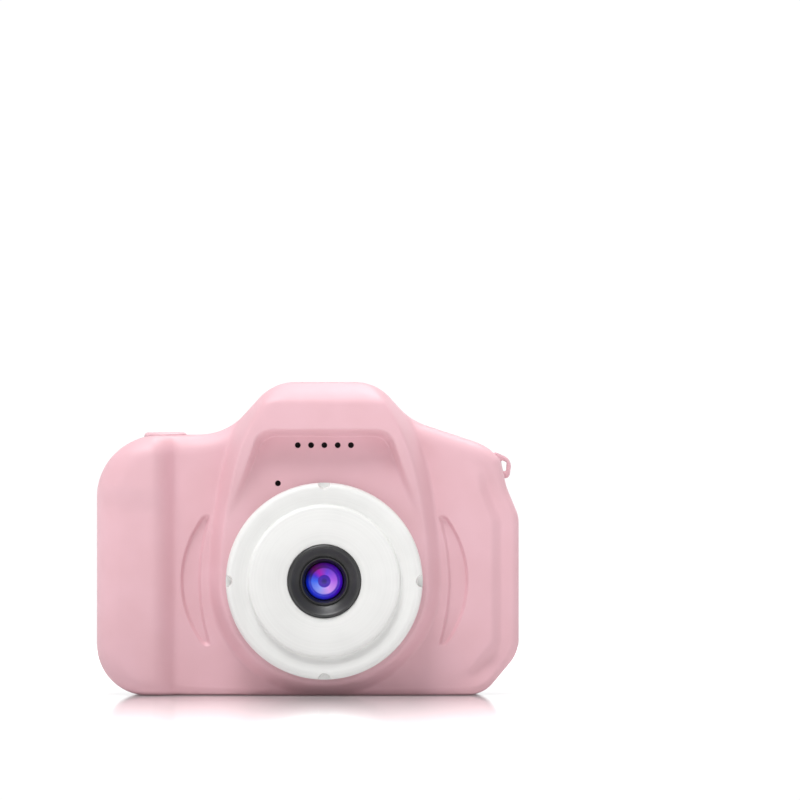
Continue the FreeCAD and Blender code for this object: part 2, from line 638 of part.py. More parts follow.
def half_key(side):
    return key(half_moon(side, 0, FLANGE_REAR - FLANGE_T, KEY_TOP),
               half_moon(side, FLANGE_W - 0.05, FLANGE_REAR - FLANGE_T, FLANGE_REAR))


def key_places():
    """Name, and the centre of the switch, for each key on the back."""
    round_ones = [(name, x, z) for name, x, z in ROUND_KEYS]
    return round_ones + [(name, PAD_X + side * 3.0, PAD_Z) for name, side in HALF_KEYS]


def key_plunger(x, z):
    return rod(x, z, SWITCH_R, SWITCH_TOP - 0.6, FLANGE_REAR - FLANGE_T)


def key_switches():
    bodies = []
    for _, x, z in key_places():
        body = box(x - 2.25, x + 2.25, BOARD_BACK, SWITCH_TOP, z - 2.25, z + 2.25)
        bodies.append(body.cut(rod(x, z, SWITCH_R + 0.15, SWITCH_TOP - 1.3, SWITCH_TOP + 1)))
    return group(bodies)


# ---- shutter ------------------------------------------------------------------------------------
SHUTTER_FLANGE = 47.0


def shutter_button():
    x, y = SHUTTER_X, SHUTTER_Y
    cap = post(x, y, SHUTTER_R, SHUTTER_FLANGE - 0.8, SHUTTER_TOP)
    cap = soften(cap, 0.6, lambda e: e.BoundBox.ZMin > SHUTTER_TOP - 0.01)
    flange = post(x, y, SHUTTER_R + 0.8, SHUTTER_FLANGE - 0.8, SHUTTER_FLANGE)
    stem = post(x, y, 2.2, SHUTTER_STEM, SHUTTER_FLANGE - 0.8)
    return fuse([cap, flange, stem])


def shutter_plunger():
    return post(SHUTTER_X, SHUTTER_Y, 1.6, SHUTTER_STEM - 2.0, SHUTTER_STEM)


def shutter_switch():
    top = SHUTTER_STEM - 1.0
    body = box(SHUTTER_X - 3, SHUTTER_X + 3, SHUTTER_Y - 3, SHUTTER_Y + 3, SWITCH_BOARD["z1"], top)
    return body.cut(post(SHUTTER_X, SHUTTER_Y, 1.75, top - 1.9, top + 1))


def shutter_board():
    b = SWITCH_BOARD
    return box(b["x0"], b["x1"], b["y0"], b["y1"], b["z0"], b["z1"])


# ---- main board ---------------------------------------------------------------------------------
def main_board():
    blank = prism(inset(BODY, WALL + 0.8), BOARD_Y, BOARD_BACK)
    blank = blank.common(box(BOARD_X[0], BOARD_X[1], 0, 20, BOARD_Z[0], BOARD_Z[1]))
    holes = [rod(x, z, BOSS_R + 0.4, 0, 20) for x, z in SCREWS]
    holes += [rod(x, z, BOARD_SCREW_R + 0.15, 0, 20) for x, z in BOARD_SCREWS]
    return blank.cut(holes)


def board_screws():
    return group([screw(x, z, BOARD_Y, +1, 1.3, 0.8, BOARD_SCREW_R, 4.2) for x, z in BOARD_SCREWS])


def screw(x, z, seat, way, head_r, head_h, shank_r, length):
    """A cross-head screw along Y: its head is on the far side of seat from way, and its shank runs way."""
    head = rod(x, z, head_r, seat - way * head_h, seat)
    head = soften(head, head_h * 0.4, lambda e: lies_at_y(e, seat - way * head_h))
    shank = rod(x, z, shank_r, seat, seat + way * (length - shank_r))
    tip0, tip1 = seat + way * (length - shank_r), seat + way * length
    tip = turned(x, z, [(0, tip0), (shank_r, tip0), (shank_r * 0.3, tip1), (0, tip1)])
    arm, slot = head_r * 0.62, head_r * 0.13
    top, floor = seat - way * (head_h + 0.1), seat - way * head_h * 0.4
    y0, y1 = min(top, floor), max(top, floor)
    cross = box(x - arm, x + arm, y0, y1, z - slot, z + slot).fuse(
        box(x - slot, x + slot, y0, y1, z - arm, z + arm))
    return fuse([head, shank, tip]).cut(cross)


def case_screws():
    sizes = (SCREW_HEAD_R, 0.9, SCREW_SHANK_R, SCREW_LEN)
    return group([screw(x, z, SCREW_SEAT, -1, *sizes) for x, z in SCREWS])


def processor_chip():
    return box(-18, -8, BOARD_Y - 1.0, BOARD_Y, 22, 32)


def memory_chip():
    return box(-2, 4, BOARD_Y - 0.9, BOARD_Y, 26, 31)


def power_chip():
    return box(14, 18, BOARD_Y - 1.1, BOARD_Y, 30, 34)


def crystal():
    return soften(box(-18, -14, BOARD_Y - 1.2, BOARD_Y, 16.4, 19.6), 0.4, lambda e: e.BoundBox.YLength > 1)


def board_parts():
    """Small two-ended parts and a coil on the main board."""
    places = [(-24, 12), (-24, 15), (-6, 20), (-6, 17), (-20, 36), (-15, 36), (-10, 36), (8, 36), (22, 27),
              (22, 24)]
    return group([box(x, x + 2.0, BOARD_Y - 0.7, BOARD_Y, z, z + 1.25) for x, z in places])


def usb_socket():
    shell = box(USB_X - 3.75, USB_X + 3.75, BOARD_Y - 2.45, BOARD_Y, 0.5, 6.1)
    room = box(USB_X - 3.4, USB_X + 3.4, BOARD_Y - 2.1, BOARD_Y - 0.35, 0, 5.6)
    tongue = box(USB_X - 1.8, USB_X + 1.8, BOARD_Y - 1.3, BOARD_Y - 0.7, 1.4, 5.8)
    return shell.cut(room).fuse(tongue)


def card_socket():
    shell = box(CARD_X - 7, CARD_X + 7, BOARD_Y - 1.9, BOARD_Y, 1.9, 16.4)
    return shell.cut(box(CARD_X - 5.6, CARD_X + 5.6, BOARD_Y - 1.5, BOARD_Y - 0.4, 1, 15.4))


def reset_switch():
    body = box(RESET_X - 1.8, RESET_X + 1.8, RESET_Y - 0.9, BOARD_Y, 3.0, 6.6)
    return body.cut(post(RESET_X, RESET_Y, 0.6, 2, 4.6))


def reset_plunger():
    return post(RESET_X, RESET_Y, 0.5, 2.0, 4.2)


def status_led():
    return box(LED[0] - 0.8, LED[0] + 0.8, BOARD_BACK, BOARD_BACK + 0.7, LED[1] - 0.5, LED[1] + 0.5)


def light_pipe():
    return fuse([rod(*LED, 0.5, 12.0, REAR_FACE - 0.8), rod(*LED, 1.2, 13.6, REAR_FACE - WALL)])


# ---- power and sound ----------------------------------------------------------------------------
def battery_cell():
    cell = box(*BATTERY["x"], *BATTERY["y"], *BATTERY["z"])
    return soften(cell, 0.8, lambda e: e.BoundBox.ZLength > 20)


def battery_tape():
    return box(22.4, 31.0, FACE_FRONT + WALL, BATTERY["y"][0], 10.0, 33.0)


def speaker_frame():
    y = SPEAKER_Y + 0.15
    basket = turned(*SPEAKER_CENTRE, [
        (SPEAKER_R, y), (SPEAKER_R, y + 1.0), (5.2, y + 2.2), (3.9, y + 2.2), (3.9, y + 1.6), (4.9, y + 1.6),
        (5.6, y + 0.7), (5.6, y),
    ])
    return basket


def speaker_cone():
    y = SPEAKER_Y + 0.15
    return turned(*SPEAKER_CENTRE, [
        (0, y + 0.5), (2.0, y + 0.5), (3.2, y + 0.3), (5.6, y + 0.3), (5.6, y + 0.5), (3.3, y + 0.5),
        (2.6, y + 0.8), (0, y + 0.8),
    ])


def speaker_magnet():
    y = SPEAKER_Y + 0.15
    return turned(*SPEAKER_CENTRE, [(0, y + 1.1), (3.9, y + 1.1), (3.9, y + 3.4), (0, y + 3.4)])


def speaker_mesh():
    return rod(*SPEAKER_CENTRE, SPEAKER_R, SPEAKER_Y, SPEAKER_Y + 0.15)


def microphone():
    return rod(*MIC, MIC_R, MIC_Y + 0.3, MIC_Y + 1.8)


def mic_boot():
    return turned(*MIC, [(0.8, MIC_Y), (BOOT_R, MIC_Y), (BOOT_R, MIC_Y + 1.8), (MIC_R, MIC_Y + 1.8),
                         (MIC_R, MIC_Y + 0.3), (0.8, MIC_Y + 0.3)])


def lead(points, r=0.35):
    """A wire through the points, with round corners."""
    shapes = []
    for a, b in zip(points, points[1:]):
        start, end = V(*a), V(*b)
        shapes.append(Part.makeCylinder(r, (end - start).Length, start, end - start))
    shapes += [Part.makeSphere(r, V(*p)) for p in points[1:-1]]
    return fuse(shapes)


def battery_leads():
    top = BATTERY["z"][1]
    return group([lead([(x, -4.5, top), (x, -4.5, 39.2), (x, BOARD_Y, 39.2)]) for x in (20.0, 22.0)])


def speaker_leads():
    z = SPEAKER_CENTRE[1] - 2.5
    y = SPEAKER_Y + 3.55
    return group([lead([(x, y, z), (x, 2.0, z), (x, 2.0, 40.6), (x, BOARD_Y, 40.6)]) for x in (2.4, 4.0)])


def microphone_leads():
    x, z = MIC
    return group([lead([(x + dx, MIC_Y + 1.8, z), (x + dx, BOARD_Y, z)]) for dx in (-0.8, 0.8)])


def shutter_leads():
    z = SWITCH_BOARD["z0"]
    return group([lead([(x, 1.5, z), (x, 1.5, 36.5), (x, BOARD_Y, 36.5)]) for x in (-26.8, -25.2)])


# ---- export -------------------------------------------------------------------------------------
NODES = {
    "front_shell": front_shell(),
    "rear_shell": rear_shell(),
    "case_screws": case_screws(),
    "lens_bezel": lens_bezel(),
    "lens_hood": lens_hood(),
    "lens_front_element": lens_front_element(),
    "lens_barrel": lens_barrel(),
    "lens_rear_element": lens_rear_element(),
    "lens_holder": lens_holder(),
    "lens_screws": lens_screws(),
    "image_sensor": image_sensor(),
    "camera_board": camera_board(),
    "camera_flex": camera_flex(),
    "flex_connector": flex_connector(),
    "display_window": display_window(),
    "display_panel": display_panel(),
    "display_backlight": display_backlight(),
    "display_flex": display_flex(),
    "display_foam": display_foam(),
    "viewfinder_window": viewfinder_window(),
    "key_switches": key_switches(),
    "shutter_button": shutter_button(),
    "shutter_plunger": shutter_plunger(),
    "shutter_switch": shutter_switch(),
    "shutter_board": shutter_board(),
    "main_board": main_board(),
    "board_screws": board_screws(),
    "processor_chip": processor_chip(),
    "memory_chip": memory_chip(),
    "power_chip": power_chip(),
    "crystal": crystal(),
    "board_parts": board_parts(),
    "usb_socket": usb_socket(),
    "card_socket": card_socket(),
    "reset_switch": reset_switch(),
    "reset_plunger": reset_plunger(),
    "status_led": status_led(),
    "light_pipe": light_pipe(),
    "battery_cell": battery_cell(),
    "battery_tape": battery_tape(),
    "speaker_frame": speaker_frame(),
    "speaker_cone": speaker_cone(),
    "speaker_magnet": speaker_magnet(),
    "speaker_mesh": speaker_mesh(),
    "microphone": microphone(),
    "mic_boot": mic_boot(),
    "battery_leads": battery_leads(),
    "speaker_leads": speaker_leads(),
    "microphone_leads": microphone_leads(),
    "shutter_leads": shutter_leads(),
}
for key_name, key_x, key_z in ROUND_KEYS:
    NODES[key_name + "_key"] = round_key(key_x, key_z)
for key_name, key_side in HALF_KEYS:
    NODES[key_name + "_key"] = half_key(key_side)
for key_name, key_x, key_z in key_places():
    NODES[key_name + "_plunger"] = key_plunger(key_x, key_z)

os.makedirs("parts", exist_ok=True)
for node, shape in NODES.items():
    shape.exportStep("parts/" + node + ".step")
print(len(NODES), "nodes written")
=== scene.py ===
import bpy
import math
import numpy as np
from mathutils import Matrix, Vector


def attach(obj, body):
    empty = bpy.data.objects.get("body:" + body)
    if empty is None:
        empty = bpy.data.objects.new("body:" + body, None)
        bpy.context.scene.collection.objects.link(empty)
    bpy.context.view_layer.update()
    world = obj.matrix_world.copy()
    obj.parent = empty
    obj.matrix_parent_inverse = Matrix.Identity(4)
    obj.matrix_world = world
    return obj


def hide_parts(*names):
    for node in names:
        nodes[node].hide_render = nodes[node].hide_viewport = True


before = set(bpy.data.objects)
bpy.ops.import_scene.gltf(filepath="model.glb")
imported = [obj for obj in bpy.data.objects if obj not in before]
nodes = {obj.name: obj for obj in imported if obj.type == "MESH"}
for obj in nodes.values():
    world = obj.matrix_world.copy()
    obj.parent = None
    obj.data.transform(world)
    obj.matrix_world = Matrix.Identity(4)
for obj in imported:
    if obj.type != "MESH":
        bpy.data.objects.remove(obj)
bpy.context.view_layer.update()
print("frame loaded:", len(nodes), "nodes")


def makePiece(name, points, faces):  # points in millimetres, in the frame
    mesh = bpy.data.meshes.new(name)
    mesh.from_pydata(np.asarray(points, float) * 0.001, [], faces)
    mesh.validate()
    mesh.update()
    piece = bpy.data.objects.new(name, mesh)
    bpy.context.scene.collection.objects.link(piece)
    return piece


def gridFaces(columns, rows, closedRows, closedColumns=True):
    # quads between neighbouring columns and neighbouring rows; either way may close into a ring
    a, b = np.meshgrid(np.arange(columns if closedColumns else columns - 1),
                       np.arange(rows if closedRows else rows - 1), indexing="ij")
    a2, b2 = (a + 1) % columns, (b + 1) % rows
    return np.stack([a * rows + b, a2 * rows + b, a2 * rows + b2, a * rows + b2], -1).reshape(-1, 4)


def pointOutwards(piece):
    # the signed volume of a closed mesh is the sum of (a . b x c) / 6 over its triangles: negative means inside out
    mesh = piece.data
    mesh.calc_loop_triangles()
    co = np.empty(len(mesh.vertices) * 3)
    mesh.vertices.foreach_get("co", co)
    tri = np.empty(len(mesh.loop_triangles) * 3, int)
    mesh.loop_triangles.foreach_get("vertices", tri)
    a, b, c = co.reshape(-1, 3)[tri.reshape(-1, 3)].transpose(1, 0, 2)
    if np.einsum("ij,ij->i", a, np.cross(b, c)).sum() < 0:
        mesh.flip_normals()


def smoothBelow(piece, degrees):
    mesh = piece.data
    mesh.shade_smooth()
    mesh.set_sharp_from_angle(angle=math.radians(degrees))


def bakeModifiers(piece):
    mesh = bpy.data.meshes.new_from_object(piece.evaluated_get(bpy.context.evaluated_depsgraph_get()))
    piece.modifiers.clear()
    old, piece.data = piece.data, mesh
    bpy.data.meshes.remove(old)


def cut(piece, tools, how="DIFFERENCE"):  # tools are closed meshes, used up here
    for tool in tools:
        mod = piece.modifiers.new("cut", "BOOLEAN")
        mod.operation, mod.object, mod.solver = how, tool, "EXACT"
    bakeModifiers(piece)
    for tool in tools:
        bpy.data.objects.remove(tool)


def turned(name, centre, profile, steps=180, lift=None):
    # a ring of (radius, y) points turned about the line along Y through centre; lift(x, z, y) may move y
    angle = np.linspace(0, 2 * np.pi, steps, endpoint=False)[:, None]
    r, y = np.array(profile, float).T[:, None, :]
    x, z = centre[0] + r * np.cos(angle), centre[1] + r * np.sin(angle)
    y = y + 0 * angle
    if lift is not None:
        y = lift(x, z, y)
    piece = makePiece(name, np.stack([x, y, z], -1).reshape(-1, 3), gridFaces(steps, len(profile), True))
    pointOutwards(piece)
    return piece


def stacked(name, loop, centre, profile, along="y"):
    # a closed loop shrunk about centre to each (scale, height) of profile; both ends close on a fan
    scale, height = np.array(profile, float).T
    u, w = (centre[:, None, None] + (loop - centre).T[:, :, None] * scale).reshape(2, -1)
    h = np.tile(height, len(loop))
    points = np.stack([u, h, w] if along == "y" else [u, w, h], -1)
    n, m = len(loop), len(profile)
    faces = gridFaces(n, m, False).tolist() + [list(range(0, n * m, m)), list(range(m - 1, n * m, m))[::-1]]
    piece = makePiece(name, points, faces)
    pointOutwards(piece)
    return piece


def smoothStep(low, high, t):
    s = np.clip((t - low) / (high - low), 0, 1)
    return s * s * (3 - 2 * s)


def softMin(a, b, k):  # the lower of two, with a corner of size k rounded off
    h = np.clip(0.5 + 0.5 * (b - a) / k, 0, 1)
    return b + (a - b) * h - k * h * (1 - h)


# millimetres: the outline's extents, the lens axis, the plane where the halves meet, and the tower's slopes
body = dict(left=-40.5, right=40.5, height=60.0, shoulder=49.9, lensX=3.2, lensZ=22.0, parting=9.8, wall=1.8,
            towerHalf=9.8, towerFoot=52.6, towerSlope=47.6)


def bodyCorners():  # x, z, corner radius, anticlockwise from the bottom left
    b = body
    slope, top, foot = math.tan(math.radians(b["towerSlope"])), b["towerHalf"], b["towerFoot"]
    run = (b["height"] - b["shoulder"]) / slope
    return [
        (b["left"], 0, 9.7), (33.6, 0, 6.5), (b["right"], 8.1, 7.0), (b["right"], 34.3, 6.0), (38.2, 39.8, 6.0),
        (36.9, 45.3, 2.5), (34.2, 47.8, 11.0), (b["lensX"] + top + (b["height"] - foot) / slope, foot, 12.0),
        (b["lensX"] + top, b["height"], 9.0), (b["lensX"] - top, b["height"], 9.0),
        (b["lensX"] - top - run, b["shoulder"], 12.0), (b["left"], b["shoulder"] - 0.2, 11.8),
    ]


def polar(centre, r, angle):  # the points at distance r from centre at each angle
    return np.asarray(centre) + np.multiply(r, [np.cos(angle), np.sin(angle)]).T


def outlineArcs(corners):  # each corner's arc: start, end, centre, radius
    arcs = []
    for i, (x, z, r) in enumerate(corners):
        here = np.array([x, z], float)
        back = np.array(corners[i - 1][:2]) - here
        on = np.array(corners[(i + 1) % len(corners)][:2]) - here
        back, on = back / np.linalg.norm(back), on / np.linalg.norm(on)
        half = math.acos(np.clip(back @ on, -1, 1)) / 2
        reach, middle = r / math.tan(half), (back + on) / np.linalg.norm(back + on)
        arcs.append((here + back * reach, here + on * reach, here + middle * r / math.sin(half), r))
    return arcs


def outlineLoop(corners, perArc=40, step=0.3):
    # straight runs between the arcs, and each arc turned evenly from its start to its end
    arcs, pieces = outlineArcs(corners), []
    for i, (start, end, centre, r) in enumerate(arcs):
        a0, a1 = np.arctan2(*(start - centre)[::-1]), np.arctan2(*(end - centre)[::-1])
        turn = (a1 - a0 + np.pi) % (2 * np.pi) - np.pi
        angle = a0 + turn * np.linspace(0, 1, perArc)
        pieces.append(polar(centre, r, angle))
        onward = arcs[(i + 1) % len(arcs)][0]
        count = max(int(np.linalg.norm(onward - end) / step), 1)
        pieces.append(end + (onward - end) * np.linspace(0, 1, count, endpoint=False)[1:, None])
    return np.concatenate(pieces)


def insideDistance(corners, x, z):
    # distance to the nearest straight run or arc of the outline, for points inside it
    arcs, best = outlineArcs(corners), np.full(np.shape(x), 1e9)
    for i, (start, end, centre, r) in enumerate(arcs):
        onward = arcs[(i + 1) % len(arcs)][0]
        run = onward - end
        t = np.clip(((x - end[0]) * run[0] + (z - end[1]) * run[1]) / max(run @ run, 1e-12), 0, 1)
        best = np.minimum(best, np.hypot(x - end[0] - t * run[0], z - end[1] - t * run[1]))
        middle = (start + end) / 2 - centre
        reach = math.cos(math.asin(min(np.linalg.norm(end - start) / (2 * r), 1)))
        far = np.hypot(x - centre[0], z - centre[1])
        facing = (x - centre[0]) * middle[0] + (z - centre[1]) * middle[1]
        within = facing > reach * np.linalg.norm(middle) * far - 1e-9
        best = np.where(within, np.minimum(best, np.abs(far - r)), best)
    return best


def roundedBox(x, z, box, r):  # distance inside a rounded rectangle, negative outside
    a, b = np.abs(x - box[0]) - box[2] / 2 + r, np.abs(z - box[1]) - box[3] / 2 + r
    return r - np.hypot(np.maximum(a, 0), np.maximum(b, 0)) - np.minimum(np.maximum(a, b), 0)


# rows crowd together by crowd towards the outline and by bend where the surface turns; seam is each half's gap
skin = dict(dense=900, crowd=1.8, bend=0.9, blurRadius=14, blurRun=5, sideRows=12, sill=0.15, inset=0.14, seam=0.015)


def reachOf(loop, centre, angle):  # how far the loop lies from centre at each angle
    dx, dz = loop[:, 0] - centre[0], loop[:, 1] - centre[1]
    bearing = np.arctan2(dz, dx)
    order = np.argsort(bearing)
    return np.interp(angle, bearing[order], np.hypot(dx, dz)[order], period=2 * np.pi)


def shellColumns(corners, centre, innerLoop, count):
    # rays from centre: each starts on the outline and ends on the inner loop
    loop = outlineLoop(corners)
    length = np.r_[0, np.cumsum(np.linalg.norm(np.diff(np.r_[loop, loop[:1]], axis=0), axis=1))]
    closed = np.r_[loop, loop[:1]]
    at = np.linspace(0, length[-1], count, endpoint=False)
    outer = np.stack([np.interp(at, length, closed[:, k]) for k in (0, 1)], -1)
    angle = np.arctan2(outer[:, 1] - centre[1], outer[:, 0] - centre[0])
    inner = polar(centre, reachOf(innerLoop, centre, angle), angle)
    share = np.linspace(0, 1, skin["dense"]) ** skin["crowd"]
    return outer, inner, angle, share


def blurRound(values, reach):  # a moving average over neighbouring columns
    return sum(np.roll(values, k, axis=0) for k in range(-reach, reach + 1)) / (2 * reach + 1)


def readAt(run, values, want):  # values where run, which grows along each column, passes want
    shift = 100.0 * np.arange(len(run))[:, None]  # more than any run is long, so the columns stay apart
    return np.interp((want + shift).ravel(), (run + shift).ravel(), values.ravel()).reshape(want.shape)


def shellSkin(name, corners, centre, innerLoop, face, edgeRadius, sign, rimRows, count, rows, inside):
    # y = sign * (face(x, z) - dip), and dip = r - sqrt(r^2 - (r - d)^2) where d, the distance from the outline, is
    # under the edge radius r
    outer, inner, angle, share = shellColumns(corners, centre, innerLoop, count)
    roundR = np.interp(np.degrees(angle), *np.array(edgeRadius).T, period=360)
    roundR = blurRound(roundR, skin["blurRadius"])[:, None]
    wall = body["wall"]

    def between(shares):  # x and z at each share of the way from the outline to the inner loop
        return [outer[:, k:k + 1] + (inner[:, k:k + 1] - outer[:, k:k + 1]) * shares for k in (0, 1)]

    def surface(x, z):
        d = insideDistance(corners, x, z)
        dip = roundR - np.sqrt(np.maximum(roundR ** 2 - np.maximum(roundR - d, 0) ** 2, 0))
        return sign * (face(x, z, d) - dip), d

    x, z = between(share)
    y, d = surface(x, z)
    dx, dy, dz = np.diff(x), np.diff(y), np.diff(z)
    step = np.sqrt(dx ** 2 + dy ** 2 + dz ** 2)
    bend = np.abs(np.diff(np.arctan2(dy, np.hypot(dx, dz)), prepend=0))
    run = np.concatenate([np.zeros((count, 1)), np.cumsum(step + skin["bend"] * bend, axis=1)], axis=1)
    run = blurRound(run / run[:, -1:], skin["blurRun"])
    shares = readAt(run, share + 0 * run, np.linspace(0, 1, rows) + 0 * angle[:, None])
    x, z = between(shares)
    y, d = surface(x, z)

    # the inner wall: the same surface moved in by the wall, from where the outline is a wall away
    deep = readAt(np.maximum.accumulate(d, axis=1), shares, np.full((count, 1), wall))
    start = readAt(share + 0 * run, run, deep)
    back = readAt(run, share + 0 * run, 1 + (start - 1) * np.linspace(0, 1, inside))
    bx, bz = between(back)
    by = surface(bx, bz)[0] - sign * wall
    sx, sz = between(readAt(np.maximum.accumulate(d, axis=1), shares, np.full((count, 1), skin["inset"])))
    seam = body["parting"] + sign * skin["seam"]

    def ring(px, py, pz):
        return [np.broadcast_to(v, (count, 1)) if np.ndim(v) == 0 else v for v in (px, py, pz)]

    sides = np.linspace(0, 1, skin["sideRows"] + 2)[1:-1][None, :]
    low = seam + sign * skin["sill"]
    parts = [ring(bx[:, -1:], seam, bz[:, -1:]), ring(sx, seam, sz), ring(outer[:, :1], low, outer[:, 1:])]
    parts.append([outer[:, :1] + 0 * sides, low + (y[:, :1] - low) * sides, outer[:, 1:] + 0 * sides])
    parts.append([x, y, z])
    for px, py, pz in rimRows(inner, angle, y[:, -1:]):
        parts.append(ring(px, py, pz))
    parts.append([bx, by, bz])
    x, y, z = (np.concatenate([p[k] for p in parts], axis=1) for k in range(3))
    piece = makePiece(name, np.stack([x, y, z], -1).reshape(-1, 3), gridFaces(count, x.shape[1], True))
    pointOutwards(piece)
    return piece


# how far forward of y = 0 each face stands, and the sizes of the steps between them
front = dict(face=9.6, fall=0.25, plateau=13.4, grip=13.0, visor=16.5, crown=3.4, tower=19.9, towerHigh=41.2, flank=2.6,
             lip=50.45, hollow=1.7, ledge=4.2, ledgeDrop=1.3, hole=15.1)
gripStep = dict(x=-25.6, run=4.6, bulge=1.0, roll=0.35)
crescent = dict(outer=20.0, outerX=7.4, inner=40.0, innerX=-16.1, half=12.35, depth=0.8)


def towerDistance(x, z):
    # inside a circle about the lens whose upper half is stretched to an ellipse: t = (1 - f) / |gradient of f|
    u, w, a = np.abs(x - body["lensX"]), z - body["lensZ"], front["tower"]
    b = np.where(w > 0, front["towerHigh"], a)
    f = np.maximum(np.hypot(u / a, w / b), 1e-3)
    return (1 - f) * f / np.maximum(np.hypot(u / a ** 2, w / b ** 2), 1e-5)


def crescentDistance(x, z):
    # inside the outer circle, outside the flatter inner one, and between the two ends
    u, w, c = np.abs(x - body["lensX"]), z - body["lensZ"], crescent
    outer = c["outer"] - np.hypot(u - c["outerX"], w)
    inner = np.hypot(u - c["innerX"], w) - c["inner"]
    return softMin(softMin(outer, inner, 0.5), c["half"] - np.abs(w), 0.7)


def frontFace(x, z, d):
    # the main face, raised by the grip, the tower with its brow and its recessed panel, and lowered by grooves
    f, g = front, gripStep
    h = f["face"] - f["fall"] * smoothStep(24, 36, x)
    bulge = smoothStep(35.0, 40.5, z + 0.08 * (x + 34)) * (1 - smoothStep(46, 52, z))
    grip = f["grip"] - g["roll"] + g["bulge"] * bulge + g["roll"] * smoothStep(-41, -33, x)
    climb = (g["x"] - x) / g["run"]
    climb = np.minimum((climb + np.sqrt(climb ** 2 + 0.02)) / 2, 1)  # starts softly, stops at the top
    h = h + (grip - h) * np.sin(np.pi / 2 * climb)
    t = towerDistance(x, z)
    high = smoothStep(33.0, 51.0, z)
    crest = f["plateau"] + (f["visor"] - f["plateau"]) * high
    crest = crest - f["crown"] * smoothStep(55.6, 61.0, z) ** 1.1
    side = smoothStep(-f["flank"] - 0.5 * high, 0.35 - 0.5 * high, t)
    panel = f["plateau"] - f["hollow"] * smoothStep(38.5, 51.5, z)
    ridge = 0.75 + 1.6 * smoothStep(30, 45, z) - 0.2 * smoothStep(47, 51, z)
    inside = smoothStep(-0.8, 0.8, softMin(t - ridge, f["lip"] - z, 2.6))
    tower = crest + (panel - crest) * inside
    h = h + (tower - h) * side
    h = h - crescent["depth"] * smoothStep(-0.3, 0.4, crescentDistance(x, z))
    strip = smoothStep(-1.3, 1.0, f["ledge"] - d) * smoothStep(27.5, 34.0, x)
    strip = strip * smoothStep(0.5, 7.0, z) * (1 - smoothStep(38.0, 46.5, z))
    return h - f["ledgeDrop"] * strip


def frontRim(inner, angle, y):  # the lens hole's wall goes straight back
    return [(inner[:, :1], y + 0.9, inner[:, 1:])]


# the outer edge's radius by bearing from the lens, in degrees
frontEdge = [(-180, 4.6), (-157, 4.2), (-140, 1.6), (-90, 1.3), (-45, 1.4), (-25, 1.7), (0, 1.5), (18, 1.5), (27, 1.8),
             (34, 2.4), (40, 3.0), (60, 3.2), (73, 3.2), (90, 2.4), (110, 3.0), (124, 3.4), (138, 4.0), (152, 4.8)]
lensCentre = (body["lensX"], body["lensZ"])


def ringLoop(x, z, r, steps=96):  # a circle's points and its centre
    angle = np.linspace(0, 2 * np.pi, steps, endpoint=False)
    return polar((x, z), r, angle), np.array([x, z], float)


holeLoop = ringLoop(*lensCentre, front["hole"], 720)[0]
frontSkin = shellSkin("frontShell", bodyCorners(), lensCentre, holeLoop, frontFace, frontEdge, -1, frontRim,
                      count=600, rows=108, inside=34)
print("front shell laid out:", len(frontSkin.data.polygons), "faces")


def barTool(x0, x1, y0, y1, z0, z1):
    corners = [(x, y, z) for x in (x0, x1) for y in (y0, y1) for z in (z0, z1)]
    faces = [(0, 1, 3, 2), (4, 6, 7, 5), (0, 4, 5, 1), (2, 3, 7, 6), (0, 2, 6, 4), (1, 5, 7, 3)]
    piece = makePiece("tool", corners, faces)
    pointOutwards(piece)
    return piece


def uprightTool(x, y, r, z0, z1, steps=72):
    return stacked("tool", *ringLoop(x, y, r, steps), [(1, z0), (1, z1)], along="z")


smallHoles = dict(radius=0.56, speakers=5, speakerZ=48.0, speakerPitch=2.55, microphone=(-5.7, 40.7),
                  status=(-23.6, 31.7), outwards=1.6, inwards=3.4)
# x0, x1, y0, y1 of the openings in the underside, the reset pin's hole as x, y, radius, and how deep they are cut
underside = dict(usbSocket=(-7.15, 0.75, 7.1, 12), cardSlot=(8.5, 20.5, 8.0, 12), reset=(-13.0, 8.6, 0.6), cut=(-2, 3))
shutter = dict(x=-27.4, y=-1.5, r=4.1, top=50.4, under=47.0, gap=0.2, edge=0.75, dish=0.3, stemR=2.2, foot=44.0,
               flange=0.8, hole=(42, 56))


def frontHoles():
    s, farFromEdge = smallHoles, np.array([9.0])
    middle = (s["speakers"] - 1) / 2
    spots = [(body["lensX"] + (i - middle) * s["speakerPitch"], s["speakerZ"]) for i in range(s["speakers"])]
    tools = []
    for x, z in spots + [s["microphone"]]:
        surface = -float(frontFace(np.array([x]), np.array([z]), farFromEdge)[0])
        tools.append(stacked("tool", *ringLoop(x, z, s["radius"], 40),
                             [(1, surface - s["outwards"]), (1, surface + s["inwards"])]))
    tools.append(uprightTool(shutter["x"], shutter["y"], shutter["r"] + shutter["gap"], *shutter["hole"]))
    tools += [barTool(*underside[opening], *underside["cut"]) for opening in ("usbSocket", "cardSlot")]
    tools.append(uprightTool(*underside["reset"], *underside["cut"], 28))
    return tools


lug = dict(plate=[(34.6, 42.6, 0.8), (38.7, 41.2, 0.9), (39.3, 45.1, 2.2), (35.4, 46.9, 0.9)],
           eye=[(37.6, 42.7, 0.28), (38.15, 43.0, 0.3), (38.25, 44.6, 0.3), (37.1, 45.1, 0.25)], centre=(37.85, 43.8))


